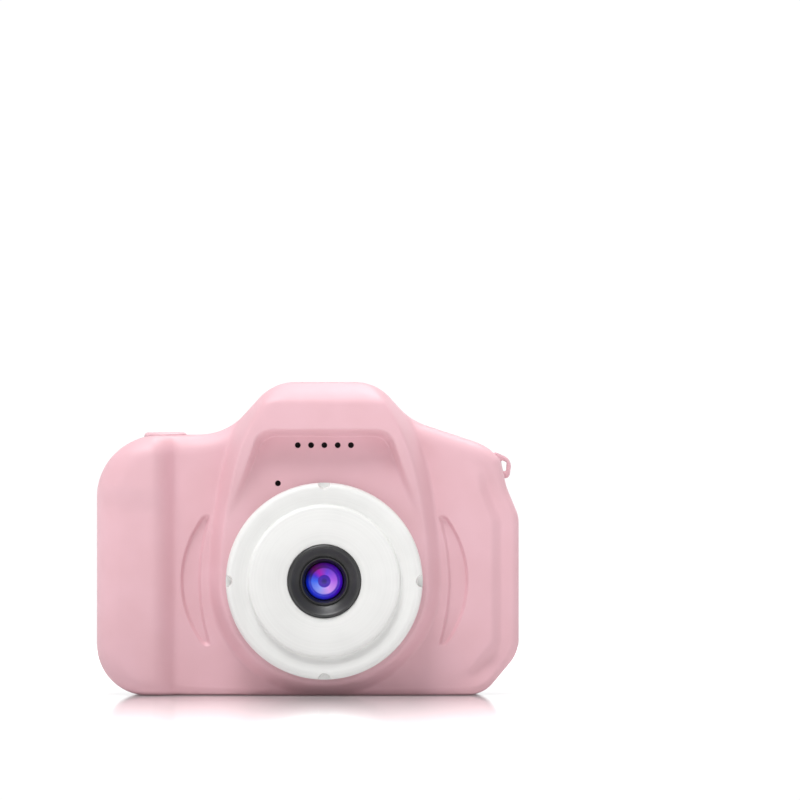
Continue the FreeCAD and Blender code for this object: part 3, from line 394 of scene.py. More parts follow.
def lanyardLug():
    # a plate with an eye: each ray from the eye's centre runs from the eye's edge to the plate's edge
    centre, angle = lug["centre"], np.linspace(-np.pi, np.pi, 96, endpoint=False)
    big = reachOf(outlineLoop(lug["plate"], 16, 0.2), centre, angle)
    little = reachOf(outlineLoop(lug["eye"], 12, 0.15), centre, angle)
    rows = [(big - 0.35, 2.0), (big - 0.1, 2.1), (big, 2.35), (big, 4.65), (big - 0.1, 4.9), (big - 0.35, 5.0),
            (little + 0.2, 5.0), (little + 0.05, 4.9), (little, 4.7), (little, 2.3), (little + 0.05, 2.1),
            (little + 0.2, 2.0)]
    r = np.stack([row[0] for row in rows], -1)
    y = np.array([row[1] for row in rows])[None, :] + 0 * r
    x, z = centre[0] + r * np.cos(angle)[:, None], centre[1] + r * np.sin(angle)[:, None]
    plate = makePiece("lug", np.stack([x, y, z], -1).reshape(-1, 3), gridFaces(len(angle), len(rows), True))
    pointOutwards(plate)
    return plate


cut(frontSkin, [lanyardLug()], "UNION")
cut(frontSkin, frontHoles())
smoothBelow(frontSkin, 40)
print("front shell cut:", len(frontSkin.data.polygons), "faces")

# boxes are centre x, centre z, width and height
rear = dict(face=17.0, window=(3.2, 23.6, 49.7, 40.0), windowRound=5.85, opening=(2.8, 23.5, 43.2, 34.0),
            openingRound=1.2, seat=16.0, inner=15.2, archX=4.6, archWidth=22.4, archFoot=20.0, archTop=56.1,
            archRound=4.6, rim=1.4, rimLow=0.5, rimHigh=1.75, hollow=0.6, ledge=4.2, ledgeDrop=1.4)


def rearFace(x, z, d):
    # the flat back, raised by the arch round the viewfinder and lowered inside it and along the stepped edge
    r = rear
    h = r["face"] + 0 * x
    panel = (r["archX"], (r["archTop"] + r["archFoot"]) / 2, r["archWidth"], r["archTop"] - r["archFoot"])
    t = roundedBox(x, z, panel, r["archRound"])
    up = smoothStep(43.6, 49.5, z)
    rim = smoothStep(-r["rim"] - 0.75, -0.75, t) * (1 - smoothStep(-0.55, 0.35, t))
    h = h + (r["rimLow"] * smoothStep(43.4, 45, z) + r["rimHigh"] * up) * rim
    h = h - r["hollow"] * smoothStep(44.0, 46.4, z) * smoothStep(-0.5, 0.4, t)
    strip = smoothStep(-1.2, 1.0, r["ledge"] - d) * smoothStep(27.5, 34.0, x)
    strip = strip * smoothStep(3.8, 9.5, z) * (1 - smoothStep(35.5, 42.5, z))
    return h - r["ledgeDrop"] * strip


# the outer edge's radius by bearing from the window's centre, in degrees
rearEdge = [(-180, 4.4), (-155, 4.0), (-138, 2.0), (-90, 1.6), (-45, 1.6), (-25, 1.8), (0, 1.6), (18, 1.6), (27, 1.9),
            (34, 2.4), (42, 2.8), (60, 2.8), (75, 2.6), (90, 2.2), (106, 2.6), (124, 3.2), (138, 4.0), (152, 4.6)]


def boxLoop(box, r):
    w, h = box[2] / 2, box[3] / 2
    corners = [(box[0] - w, box[1] - h, r), (box[0] + w, box[1] - h, r), (box[0] + w, box[1] + h, r),
               (box[0] - w, box[1] + h, r)]
    return outlineLoop(corners, 24, 0.25)


windowCentre = rear["window"][:2]


def rearRim(inner, angle, y):
    # the window's seat: down its wall, across the ledge, and through to the inner face
    r = reachOf(boxLoop(rear["opening"], rear["openingRound"]), windowCentre, angle)[:, None]
    ox, oz = windowCentre[0] + r * np.cos(angle)[:, None], windowCentre[1] + r * np.sin(angle)[:, None]
    return [(inner[:, :1], rear["seat"], inner[:, 1:]), (ox, rear["seat"], oz), (ox, rear["inner"], oz)]


rearSkin = shellSkin("rearShell", bodyCorners(), windowCentre, boxLoop(rear["window"], rear["windowRound"]), rearFace,
                     rearEdge, 1, rearRim, count=640, rows=72, inside=24)
print("rear shell laid out:", len(rearSkin.data.polygons), "faces")

keys = dict(round=[("power", -27.9, 38.7), ("up", -30.2, 26.6), ("down", -30.2, 9.4)], r=2.9, gap=0.16, well=12,
            padX=-30.2, padZ=18.0, halfGap=0.8, halfR=3.6, halfShift=1.9, under=14.4, top=17.9, edge=0.45, dish=0.12,
            flange=0.7, halfFlange=0.6, signShift=3.05, signWidth=0.2, corners=11.0)
screw = dict(spots=[(31.9, 44.4), (-20.0, 46.4), (-31.6, 3.0), (31.0, 3.0)], wellR=1.58, seat=15.7, boreR=1.0,
             bore=(13, 15.9), headR=1.3, tip=4.0, dome=16.12, arm=0.86, armHalf=0.16, lean=20, leanStep=9)
eye = dict(x=4.6, z=50.7, w=11.5, h=7.5, r=2.0, front=15.5, back=16.35, mouth=16.45, gap=0.08)


def halfMoon(side, grow=0.0, steps=96):
    # radius = (circle^-p + line^-p)^(-1/p): a circle cut by a straight side, with soft corners
    angle = np.linspace(0, 2 * np.pi, steps, endpoint=False)
    circle = keys["halfR"] + grow
    flat = keys["halfShift"] - keys["halfGap"] + grow
    towards = -side * np.cos(angle)
    line = np.where(towards > 1e-3, flat / np.maximum(towards, 1e-3), 1e3)
    p = keys["corners"]
    r = (circle ** -p + line ** -p) ** (-1 / p)
    centre = np.array([keys["padX"] + side * keys["halfShift"], keys["padZ"]])
    return polar(centre, r, angle), centre


def wellTool(loop, centre, bottom, mouth=17.0, flare=0.1, above=0.6):  # a straight well, chamfered at its mouth
    size = np.linalg.norm(loop - centre, axis=1).mean()
    rows = [(1, bottom), (1, mouth - flare), (1 + (flare + above) / size, mouth + above)]
    return stacked("tool", loop, centre, rows)


def rearHoles():
    tools = [wellTool(*ringLoop(x, z, keys["r"] + keys["gap"]), keys["well"]) for _, x, z in keys["round"]]
    tools += [wellTool(*halfMoon(side, keys["gap"]), keys["well"]) for side in (1, -1)]
    tools += [wellTool(*ringLoop(x, z, screw["wellR"], 64), screw["seat"]) for x, z in screw["spots"]]
    bore = [(1, y) for y in screw["bore"]]
    tools += [stacked("tool", *ringLoop(x, z, screw["boreR"], 32), bore) for x, z in screw["spots"]]
    tools.append(wellTool(*ringLoop(*smallHoles["status"], smallHoles["radius"], 36), keys["well"], flare=0.02))
    loop = boxLoop((eye["x"], eye["z"], eye["w"] + 2 * eye["gap"], eye["h"] + 2 * eye["gap"]), eye["r"] + eye["gap"])
    tools.append(wellTool(loop, np.array([eye["x"], eye["z"]]), eye["front"], eye["mouth"], flare=0.08))
    return tools


cut(rearSkin, rearHoles())
smoothBelow(rearSkin, 40)
print("rear shell cut:", len(rearSkin.data.polygons), "faces")

# millimetres, but rings and drift count a pattern's repeats in one; the profiles below start from the outer edge
bezel = dict(r=18.85, notch=1.12, notchFloor=-16.7, rings=1.9, drift=0.13)
hood = dict(reach=7.1)
glass = dict(r=3.7, apex=-16.45, curve=8.0, back=-14.0)


def bezelLift(x, z, y):
    # four half-round notches in the outer edge: y is held back inside a small circle at each quarter
    u, w = np.abs(x - lensCentre[0]), np.abs(z - lensCentre[1])
    near = np.minimum(np.hypot(u - bezel["r"], w), np.hypot(u, w - bezel["r"]))
    sunk = 1 - smoothStep(-0.1, 0.1, near - bezel["notch"])
    return y + sunk * (np.maximum(y, bezel["notchFloor"]) - y)


def smoothProfile(points, steps):
    # a Catmull-Rom curve through the points, which rounds the corners a little
    p = np.array(points, float)
    q = np.concatenate([2 * p[:1] - p[1:2], p, 2 * p[-1:] - p[-2:-1]])
    t = np.linspace(0, 1, steps, endpoint=False)[None, :, None]
    a, b, c, d = q[:-3, None], q[1:-2, None], q[2:-1, None], q[3:, None]
    curve = 0.5 * (2 * b + (c - a) * t + (2 * a - 5 * b + 4 * c - d) * t ** 2 + (3 * b - a - 3 * c + d) * t ** 3)
    return np.concatenate([curve.reshape(-1, 2), p[-1:]])


def makeBezel():
    # a flanged ring: rounded edge, shallow dish, step up to a raised disc, and a gentle fall to the middle hole
    r = bezel["r"]
    rows = [(r, -13.4), (r, -15.0), (r, -16.6), (r, -17.2), (18.8, -17.7), (18.6, -18.1), (18.3, -18.38),
            (17.9, -18.5), (17.4, -18.48), (16.8, -18.33), (16.0, -18.08), (15.4, -17.92), (15.0, -17.86),
            (14.72, -17.92), (14.6, -18.15), (14.52, -18.5), (14.4, -18.78), (14.15, -18.95), (13.7, -19.0),
            (12.6, -18.98), (11.0, -18.9), (9.4, -18.72), (8.2, -18.5), (7.6, -18.38), (7.2, -18.3)]
    rows = smoothProfile(rows, 3)
    inner = [(7.095, -18.2), (7.095, -16.4), (13.8, -16.4), (13.8, -10.4), (15.0, -10.4), (15.0, -13.4)]
    return turned("lensBezel", lensCentre, np.concatenate([rows, inner]), 720, bezelLift)


def makeHood():
    # a turned black ring: rounded nose, matte cone, a thin groove, and the retaining ring round the glass
    rows = [(8.6, -16.4), (7.07, -16.4), (7.07, -17.9), (7.03, -18.2), (6.92, -18.45), (6.74, -18.62), (6.52, -18.66),
            (6.32, -18.56), (6.15, -18.38), (5.7, -17.95), (4.95, -17.2), (4.82, -17.12), (4.78, -16.75),
            (4.66, -16.75), (4.62, -17.15), (4.5, -17.22), (4.3, -17.18), (4.1, -16.95), (3.9, -16.55),
            (3.78, -16.3), (3.78, -15.3), (4.55, -15.3), (4.55, -12.6), (5.8, -12.6), (5.8, -14.9), (8.6, -14.9)]
    return turned("lensHood", lensCentre, rows, 240)


def makeGlass():
    # a dome: y = apex + c - sqrt(c^2 - r^2), where c is its radius of curvature, ground flat behind
    g, tiny = glass, 1e-4
    r = np.linspace(0.0, g["r"], 26) + tiny
    dome = np.stack([r, g["apex"] + g["curve"] - np.sqrt(g["curve"] ** 2 - r ** 2)], -1)
    return turned("coatedGlass", lensCentre, np.concatenate([dome, [(g["r"], g["back"]), (tiny, g["back"])]]), 160)


lensBezel, lensHood, coatedGlass = makeBezel(), makeHood(), makeGlass()
for piece, angle in ((lensBezel, 38), (lensHood, 35), (coatedGlass, 45)):
    smoothBelow(piece, angle)
print("lens made")


def roundedEdge(size, top, edge, steps):  # a quarter turn in from the side, as (scale, height) rows
    turn = np.linspace(0, np.pi / 2, steps)
    return [(1 - edge * (1 - math.cos(a)) / size, top - edge + edge * math.sin(a)) for a in turn]


def keyCap(name, loop, centre, flange):
    # a flange under the shell, straight sides, a rounded edge, and a top that dips towards its middle
    size = np.linalg.norm(loop - centre, axis=1).mean()
    top, under, edge = keys["top"], keys["under"], keys["edge"]
    lip = under + 0.7
    rows = [(1 + flange / size, under), (1 + flange / size, lip), (1, lip), (1, top - edge - 0.5)]
    rows += roundedEdge(size, top, edge, 7)
    rows += [(s, top - keys["dish"] * (1 - (s / 0.84) ** 2)) for s in (0.8, 0.7, 0.55, 0.35, 0.15)]
    cap = stacked(name, loop, centre, rows)
    smoothBelow(cap, 40)
    return cap


def flatRibbon(name, paths, width, y0, y1):
    # each path becomes a flat bar of that width: its two sides are the path moved along its normal
    points, faces, start = [], [], 0
    for path, closed in paths:
        p = np.array(path, float)
        ahead = np.roll(p, -1, axis=0) - p
        behind = p - np.roll(p, 1, axis=0)
        if not closed:
            ahead[-1], behind[0] = behind[-1], ahead[0]
        ahead /= np.linalg.norm(ahead, axis=1)[:, None]
        behind /= np.linalg.norm(behind, axis=1)[:, None]
        normal = ahead + behind
        normal = np.stack([-normal[:, 1], normal[:, 0]], -1)
        normal /= np.maximum((normal * np.stack([-ahead[:, 1], ahead[:, 0]], -1)).sum(1), 0.3)[:, None]
        a, b = p + normal * width / 2, p - normal * width / 2
        n = len(p)
        bar = [np.stack([side[:, 0], np.full(n, y), side[:, 1]], -1)
               for side, y in ((a, y0), (a, y1), (b, y1), (b, y0))]
        points.append(np.stack(bar, 1).reshape(-1, 3))
        faces += (start + gridFaces(n, 4, True, closed)).tolist()
        start += 4 * n
        if not closed:
            faces += [[start - 4 * n + k for k in range(4)], [start - k for k in range(1, 5)]]
    piece = makePiece(name, np.concatenate(points), faces)
    pointOutwards(piece)
    return piece


def arcPath(x, z, r, start, stop, steps=36):
    return polar((x, z), r, np.radians(np.linspace(start, stop, steps)))


def keySigns():
    # raised lines drawn about each key's middle: power, up, down, a small camera and a menu page
    side, y0, y1 = keys["signShift"], keys["top"] - 0.2, keys["top"] - 0.03
    middles = {name: (x, z) for name, x, z in keys["round"]}
    middles["mode"], middles["menu"] = (keys["padX"] + side, keys["padZ"]), (keys["padX"] - side, keys["padZ"])
    arrow = [(-0.95, -0.65), (0.95, -0.65), (0, 0.95)]
    camera = [(-1.15, -0.8), (1.15, -0.8), (1.15, 0.6), (0.55, 0.6), (0.3, 0.95), (-0.3, 0.95), (-0.55, 0.6),
              (-1.15, 0.6)]
    page = [(-1.4, -0.95), (1.4, -0.95), (1.4, 0.95), (-1.4, 0.95)]
    signs = {"power": [(arcPath(0, -0.1, 1.05, 125, 415), False), ([(0, 0.2), (0, 1.3)], False)],
             "up": [(arrow, True)], "down": [([(x, -z) for x, z in arrow][::-1], True)],
             "mode": [(camera, True), (arcPath(0, -0.1, 0.45, 0, 345, 20), True)],
             "menu": [(page, True), ([(-0.85, 0.3), (0.85, 0.3)], False), ([(-0.85, -0.3), (0.85, -0.3)], False)]}
    return {name: flatRibbon(name + "Sign", [(np.array(line) + middles[name], closed) for line, closed in lines],
                             keys["signWidth"], y0, y1) for name, lines in signs.items()}


keyCaps = {name: keyCap(name + "Cap", *ringLoop(x, z, keys["r"]), keys["flange"]) for name, x, z in keys["round"]}
for name, way in (("mode", 1), ("menu", -1)):
    keyCaps[name] = keyCap(name + "Cap", *halfMoon(way), keys["halfFlange"])
keySign = keySigns()


def makeShutter():
    # a round cap along Z: skirt, rounded shoulder, and a top that dips in the middle
    s, (loop, centre) = shutter, ringLoop(shutter["x"], shutter["y"], shutter["r"], 120)
    top, under, r, edge, flange = s["top"], s["under"], s["r"], s["edge"], s["flange"]
    stem, skirt = s["stemR"] / r, 1 + flange / r
    rows = [(stem, s["foot"]), (stem, under - flange), (skirt, under - flange), (skirt, under), (1, under),
            (1, top - edge - 0.4)]
    rows += roundedEdge(r, top, edge, 8)
    rows += [(k, top - s["dish"] * (1 - (k / 0.82) ** 2)) for k in (0.76, 0.66, 0.5, 0.3, 0.1)]
    cap = stacked("shutterCap", loop, centre, rows, along="z")
    smoothBelow(cap, 40)
    return cap


def makeScrews():
    # a domed head with a tapered cross recess over a shank; each cross is turned its own way
    v, w, seat = screw["arm"], screw["armHalf"], screw["seat"]
    turn = np.linspace(0, np.pi / 2, 6)
    dome = [(1 - 0.28 * (1 - math.cos(a)), screw["dome"] + 0.3 * math.sin(a)) for a in turn]
    rows = [(0.3, screw["tip"]), (0.64, screw["tip"] + 1), (0.64, seat), (0.96, seat), (1, seat + 0.06)] + dome
    rows += [(0.45, 16.52), (0.1, 16.56)]
    arm = np.array([(w, w), (w, v), (-w, v), (-w, w), (-v, w), (-v, -w), (-w, -w), (-w, -v), (w, -v), (w, -w),
                    (v, -w), (v, w)])
    screws, crosses = [], []
    for x, z in screw["spots"]:
        screws.append(stacked("screw", *ringLoop(x, z, screw["headR"], 64), rows))
        lean = math.radians(screw["lean"] + screw["leanStep"] * x)
        arms = arm @ np.array([(math.cos(lean), math.sin(lean)), (-math.sin(lean), math.cos(lean))])
        spot = np.array([x, z])
        crosses.append(stacked("tool", spot + arms, spot, [(0.55, 15.95), (1.08, 16.8)]))
    cut(screws[0], screws[1:], "UNION")
    cut(screws[0], crosses)
    smoothBelow(screws[0], 40)
    screws[0].name = "caseScrews"
    return screws[0]


caseScrews = makeScrews()
shutterCap = makeShutter()
print("keys and shutter made")

display = dict(x=2.8, z=23.5, w=39.8, h=30.6, y=17.1, gap=0.1, margin=0.05, hill=5.2, balloonZ=3.6, balloonR=7.6,
               string=0.14, glow=0.15, skyGlow=0.3, dots=5.2,
               stripes=[(1, "violet"), (0.78, "yellow"), (0.52, "rose"), (0.22, "azure")],
               small=[(13.0, 4.5, 2.2, "green"), (15.6, 7.6, 1.9, "rose"), (11.0, 8.6, 1.8, "azure"),
                      (-12.5, 4.0, 2.2, "yellow"), (-15.6, 6.4, 1.9, "violet"), (-11.6, 8.8, 1.8, "green")])
pictureColours = dict(sky="#F4F6F8", hill="#4E6F9C", violet="#7A4BC4", yellow="#F2C518", rose="#E8407E",
                      azure="#2F9BD8", green="#35A853", basket="#8A5A34", string="#6E7680")


def flatShape(name, loop, y, thick=0.012):
    centre = np.mean(loop, axis=0)
    return stacked(name, np.asarray(loop, float), centre, [(1, y - 0.05), (1, y + thick), (0.5, y + thick)])


def envelope(x, z, r, part):
    # a balloon: a circle drawn to a neck below; part narrows it to make its stripes
    a = np.linspace(0, 2 * np.pi, 72, endpoint=False)
    below = np.sin(a) < 0
    narrow = np.where(below, 1 - 0.62 * np.abs(np.sin(a)) ** 2.2, 1)
    return np.stack([x + part * r * np.cos(a) * narrow, z + r * np.sin(a) * np.where(below, 1.35, 1)], -1)


def makePicture():
    # a plain scene of a hot-air balloon and small balloons over a hill; x runs to the left as seen from the back
    d = display
    cx, cz, y, w, h, m = d["x"], d["z"], d["y"], d["w"] / 2, d["h"] / 2, d["margin"]
    shapes = {colour: [] for colour in pictureColours}
    shapes["sky"].append(flatShape("pictureSky", boxLoop((cx, cz, 2 * w, 2 * h), m), y))
    hill = np.linspace(w - m, -w + m, 60)
    ridge = cz - h + d["hill"] + 2.6 * np.cos((hill - 3) / 9.0) + 0.8 * np.sin(hill / 3.1)
    foot = [(cx - w + m, cz - h + 0.02), (cx + w - m, cz - h + 0.02)]
    ground = np.concatenate([np.stack([cx + hill, ridge], -1), foot])
    shapes["hill"].append(flatShape("pictureHill", ground, y + 0.012))
    for k, (part, colour) in enumerate(d["stripes"]):
        stripe = envelope(cx, cz + d["balloonZ"], d["balloonR"], part)
        shapes[colour].append(flatShape("stripe%d" % k, stripe, y + 0.024 + 0.01 * k))
    basket = [(cx - 1.5, cz - 8.6), (cx + 1.5, cz - 8.6), (cx + 1.8, cz - 6.4), (cx - 1.8, cz - 6.4)]
    shapes["basket"].append(flatShape("pictureBasket", basket, y + 0.07))
    for k, (dx, dz, r, colour) in enumerate(d["small"]):
        shapes[colour].append(flatShape("small%d" % k, envelope(cx + dx, cz + dz, r, 0.9), y + 0.03 + 0.004 * k))
        neck = cz + dz - 1.3 * r
        string = [(cx + dx, neck), (cx + dx * 0.93, neck - 3), (cx + dx * 0.9, cz - 6.5)]
        shapes["string"].append(flatRibbon("string%d" % k, [(string, False)], d["string"], y - 0.02, y + 0.022))
    return shapes


pictureShapes = makePicture()


def makePane(name, box, r, y0, y1, edge):
    loop = boxLoop(box, r)
    centre = np.array(box[:2], float)
    size = min(box[2], box[3]) / 2
    rows = [(1, y0)] + roundedEdge(size, y1, edge, 5) + [(0.9, y1), (0.5, y1)]
    pane = stacked(name, loop, centre, rows)
    smoothBelow(pane, 50)
    return pane


x, z, w, h = rear["window"]
gap = display["gap"]
windowPane = makePane("windowPane", (x, z, w - 2 * gap, h - 2 * gap), rear["windowRound"] - gap / 2, rear["seat"],
                      display["y"], 0.2)
eyePane = makePane("eyePane", (eye["x"], eye["z"], eye["w"], eye["h"]), eye["r"], eye["front"], eye["back"], 0.15)
print("display made")


def linear(code):  # sRGB hex to linear colour
    c = np.array([int(code[i:i + 2], 16) / 255 for i in (1, 3, 5)])
    return (*np.where(c <= 0.04045, c / 12.92, ((c + 0.055) / 1.055) ** 2.4).tolist(), 1.0)


def add(tree, kind, settings=None, values=None, links=None):  # one node, its settings, its fixed inputs and its links
    node = tree.nodes.new("ShaderNode" + kind)
    for key, value in (settings or {}).items():
        setattr(node, key, value)
    for key, value in (values or {}).items():
        node.inputs[key].default_value = value
    for key, socket in (links or {}).items():
        tree.links.new(socket, node.inputs[key])
    return node


def ramp(tree, source, stops):  # each stop is a place and an sRGB hex, a grey level or a linear colour
    node = add(tree, "ValToRGB", links={"Fac": source})
    while len(node.color_ramp.elements) < len(stops):
        node.color_ramp.elements.new(0.5)
    for element, (at, tone) in zip(node.color_ramp.elements, stops):
        tone = linear(tone) if isinstance(tone, str) else tone
        element.position, element.color = at, tone if np.ndim(tone) else (tone, tone, tone, 1)
    return node.outputs["Color"]


def startMaterial(name, fixed):
    material = bpy.data.materials.new(name)
    material.use_nodes = True
    tree = material.node_tree
    tree.nodes.clear()
    spot = add(tree, "TexCoord").outputs["Object"]
    shader = add(tree, "BsdfPrincipled", values=fixed)
    add(tree, "OutputMaterial", links={"Surface": shader.outputs["BSDF"]})
    return material, tree, spot, shader


perMm = 1000  # Object coordinates are in metres, so a pattern's scale is its repeats in a millimetre times this


def finishFrom(tree, shader, tone, height, readFrom, roughness, bumpMm):
    # one height drives both the roughness, over the part of its range in readFrom, and the bump
    values = dict(zip(("From Min", "From Max", "To Min", "To Max"), (*readFrom, *roughness)))
    rough = add(tree, "MapRange", values=values, links={"Value": height})
    bump = add(tree, "Bump", values={"Strength": 1.0, "Distance": bumpMm / perMm}, links={"Height": height})
    tree.links.new(tone, shader.inputs["Base Color"])
    tree.links.new(rough.outputs["Result"], shader.inputs["Roughness"])
    tree.links.new(bump.outputs["Normal"], shader.inputs["Normal"])


def surfaceGrain(tree, spot, shader, tones, roughness, grainMm, bumpMm, driftMm=9.0, mottle=0.35):
    # colour drifts slowly between two tones; roughness and height follow a grain of the size given in millimetres
    drift = add(tree, "TexNoise", values={"Scale": perMm / driftMm, "Detail": 2.0}, links={"Vector": spot})
    grain = add(tree, "TexNoise", values={"Scale": perMm / grainMm, "Detail": 3.0}, links={"Vector": spot})
    tone = ramp(tree, drift.outputs["Fac"], [(0.5 - mottle / 2, tones[0]), (0.5 + mottle / 2, tones[1])])
    finishFrom(tree, shader, tone, grain.outputs["Fac"], (0.3, 0.7), roughness, bumpMm)
    return tone


plastic, steel = {"IOR": 1.53}, {"Metallic": 1.0}


def grained(name, tones, roughness, grainMm, bumpMm, fixed=plastic):
    material, tree, spot, shader = startMaterial(name, fixed)
    surfaceGrain(tree, spot, shader, tones, roughness, grainMm, bumpMm, 2.0 if fixed is steel else 9.0)
    return material


# ABS under a soft-touch lacquer: a broad, powdery highlight over a spark-eroded grain, drawn at 0.3 mm so that it shows
softTouchPink = grained("softTouchLacquerOnAbs", ("#D9ACB4", "#DDB1BA"), (0.46, 0.58), 0.3, 0.006,
                        {**plastic, "Sheen Weight": 0.12, "Sheen Roughness": 0.4})
# the shutter cap: the same lacquer on a smoother moulding, so a little glossier
shutterPink = grained("softTouchLacquerOnCap", ("#DEB5BD", "#E2BAC2"), (0.38, 0.48), 0.25, 0.004)
# polished-tool ABS keys: off-white, a faint waviness where the moulding shrank
whiteAbs = grained("polishedAbsWhite", ("#E5E4E1", "#E9E8E6"), (0.25, 0.31), 1.6, 0.004)
# the raised signs, seen only by a slightly greyer tone
signAbs = grained("polishedAbsSign", ("#C9C8C6", "#D0CFCD"), (0.35, 0.45), 0.4, 0.004)
# acrylic with a black print behind it: deep black under a clear, hard gloss
printedAcrylic = grained("acrylicBlackPrinted", ("#030304", "#050506"), (0.03, 0.05), 6.0, 0.002,
                         {**plastic, "Specular IOR Level": 0.06})
# bright zinc plate on the case screws: crisp silver with a fine sparkle
zincSteel = grained("steelZincPlated", ("#D2D4D6", "#E2E3E4"), (0.26, 0.4), 0.15, 0.004, steel)


def lensAxis(tree, spot):  # the place measured from the lens axis, and its distance from that axis
    centred = add(tree, "Mapping", values={"Location": (-lensCentre[0] * 0.001, 0, -lensCentre[1] * 0.001),
                                                     "Scale": (1, 0, 1)}, links={"Vector": spot}).outputs["Vector"]
    return centred, add(tree, "VectorMath", {"operation": "LENGTH"}, links={0: centred}).outputs["Value"]


def turnedWhite():
    # ABS from a turned tool: faint rings about the lens axis, half a millimetre apart, from noise read along the radius
    material, tree, spot, shader = startMaterial("satinAbsTurnedTool", plastic)
    rings = add(tree, "TexNoise", {"noise_dimensions": "1D"}, {"Scale": bezel["rings"] * perMm, "Detail": 3.0},
                {"W": lensAxis(tree, spot)[1]})
    drift = add(tree, "TexNoise", values={"Scale": bezel["drift"] * perMm, "Detail": 2.0},
                links={"Vector": spot})
    both = add(tree, "Math", {"operation": "MULTIPLY_ADD"}, {1: 0.6},
               {0: rings.outputs["Fac"], 2: drift.outputs["Fac"]})
    tone = ramp(tree, both.outputs["Value"], [(0.45, "#DEDEDC"), (1.15, "#E6E6E4")])
    finishFrom(tree, shader, tone, rings.outputs["Fac"], (0, 1), (0.34, 0.42), 0.004)
    return material


def lensPaintedReflections():
    # glass under a magnesium-fluoride coating whose base colour is painted reflection: violet and blue rings that turn
    # in hue round the axis, with painted shade at the stop and towards the rim
    material, tree, spot, shader = startMaterial("opticalGlassPaintedReflections", {
        "IOR": 1.52, "Roughness": 0.08, "Specular IOR Level": 0.35})
    centred, radius = lensAxis(tree, spot)
    share = add(tree, "Math", {"operation": "DIVIDE"}, {1: glass["r"] / perMm}, {0: radius}).outputs["Value"]
    parts = add(tree, "SeparateXYZ", links={"Vector": centred})
    angle = add(tree, "Math", {"operation": "ARCTAN2"}, links={0: parts.outputs["Z"], 1: parts.outputs["X"]})
    turn = add(tree, "MapRange", values={"From Min": -math.pi, "From Max": math.pi},
               links={"Value": angle.outputs["Value"]}).outputs["Result"]
    # pale and deep are two sets of painted reflection colours that turn in hue round the axis
    paleReflectionPainted = ramp(tree, turn, [(0.0, "#2E6BFF"), (0.17, "#8FA0FF"), (0.33, "#DDA0FF"), (0.52, "#B45CF5"),
                             (0.7, "#7A4CF0"), (0.83, "#B524C4"), (0.92, "#4A30E8"), (1.0, "#2E6BFF")])
    deep = ramp(tree, turn, [(0.0, "#0830E8"), (0.2, "#2A3CF5"), (0.38, "#5008E0"), (0.58, "#5A14D8"),
                             (0.74, "#5A0C9A"), (0.86, "#6A0468"), (0.94, "#1C1090"), (1.0, "#0830E8")])
    # a ring of painted reflection, painted shade at the stop, and painted shade with darker bands towards the rim
    reflectionRingPainted = ramp(tree, share, [(0.3, 0), (0.35, 1), (0.64, 1), (0.71, 0)])
    stopShadePainted = ramp(tree, share, [(0.1, 1), (0.29, 1), (0.34, 0)])
    rimShadePainted = ramp(tree, share, [(0.0, (0.35, 0.35, 0.4, 1)), (0.13, (0.6, 0.6, 0.7, 1)), (0.17, 1), (0.7, 1),
                                  (0.73, (0.6, 0.6, 0.7, 1)), (0.77, 1), (0.9, (0.9, 0.9, 1, 1)),
                                  (0.98, (0.02, 0.02, 0.03, 1))])
    mixed = add(tree, "Mix", {"data_type": "RGBA"}, links={"Factor": reflectionRingPainted, 6: deep, 7: paleReflectionPainted})
    centre = add(tree, "Mix", {"data_type": "RGBA"}, {7: linear("#4418B0")},
                 {"Factor": stopShadePainted, 6: mixed.outputs[2]})
    final = add(tree, "Mix", {"data_type": "RGBA", "blend_type": "MULTIPLY"}, {"Factor": 1.0},
                {6: centre.outputs[2], 7: rimShadePainted})
    tree.links.new(final.outputs[2], shader.inputs["Base Color"])
    return material


def hoodBlack():
    # black ABS from an eroded tool, with painted shade in the groove and inside the retaining ring
    material, tree, spot, shader = startMaterial("blackAbsErodedPaintedShade", plastic)
    tone = surfaceGrain(tree, spot, shader, ("#2A2A2B", "#313132"), (0.36, 0.48), 0.2, 0.005)
    share = add(tree, "Math", {"operation": "DIVIDE"}, {1: hood["reach"] / perMm},
                {0: lensAxis(tree, spot)[1]})
    # painted shade: darker over the groove and on the slope inside the retaining ring down to the glass
    paintedShade = ramp(tree, share.outputs["Value"], [(0.6, (0.12, 0.12, 0.13, 1)), (0.625, 0.9), (0.645, 0.1), (0.685, 0.1),
                                                (0.7, 1)])
    final = add(tree, "Mix", {"data_type": "RGBA", "blend_type": "MULTIPLY"}, {"Factor": 1.0},
                {6: tone, 7: paintedShade})
    tree.links.new(final.outputs[2], shader.inputs["Base Color"])
    return material


def litPicture(name, code, glow):  # the display's own light behind clear acrylic, faintly grained by its dots
    material, tree, spot, shader = startMaterial(name, {
        "Roughness": 0.06, "IOR": 1.49, "Coat Weight": 0.6, "Coat Roughness": 0.03, "Emission Strength": glow})
    dots = add(tree, "TexNoise", values={"Scale": display["dots"] * perMm, "Detail": 1.0},
               links={"Vector": spot})
    dark = tuple(0.94 * c for c in linear(code)[:3]) + (1.0,)
    tone = ramp(tree, dots.outputs["Fac"], [(0.35, dark), (0.65, code)])
    tree.links.new(tone, shader.inputs["Base Color"])
    tree.links.new(tone, shader.inputs["Emission Color"])
    return material


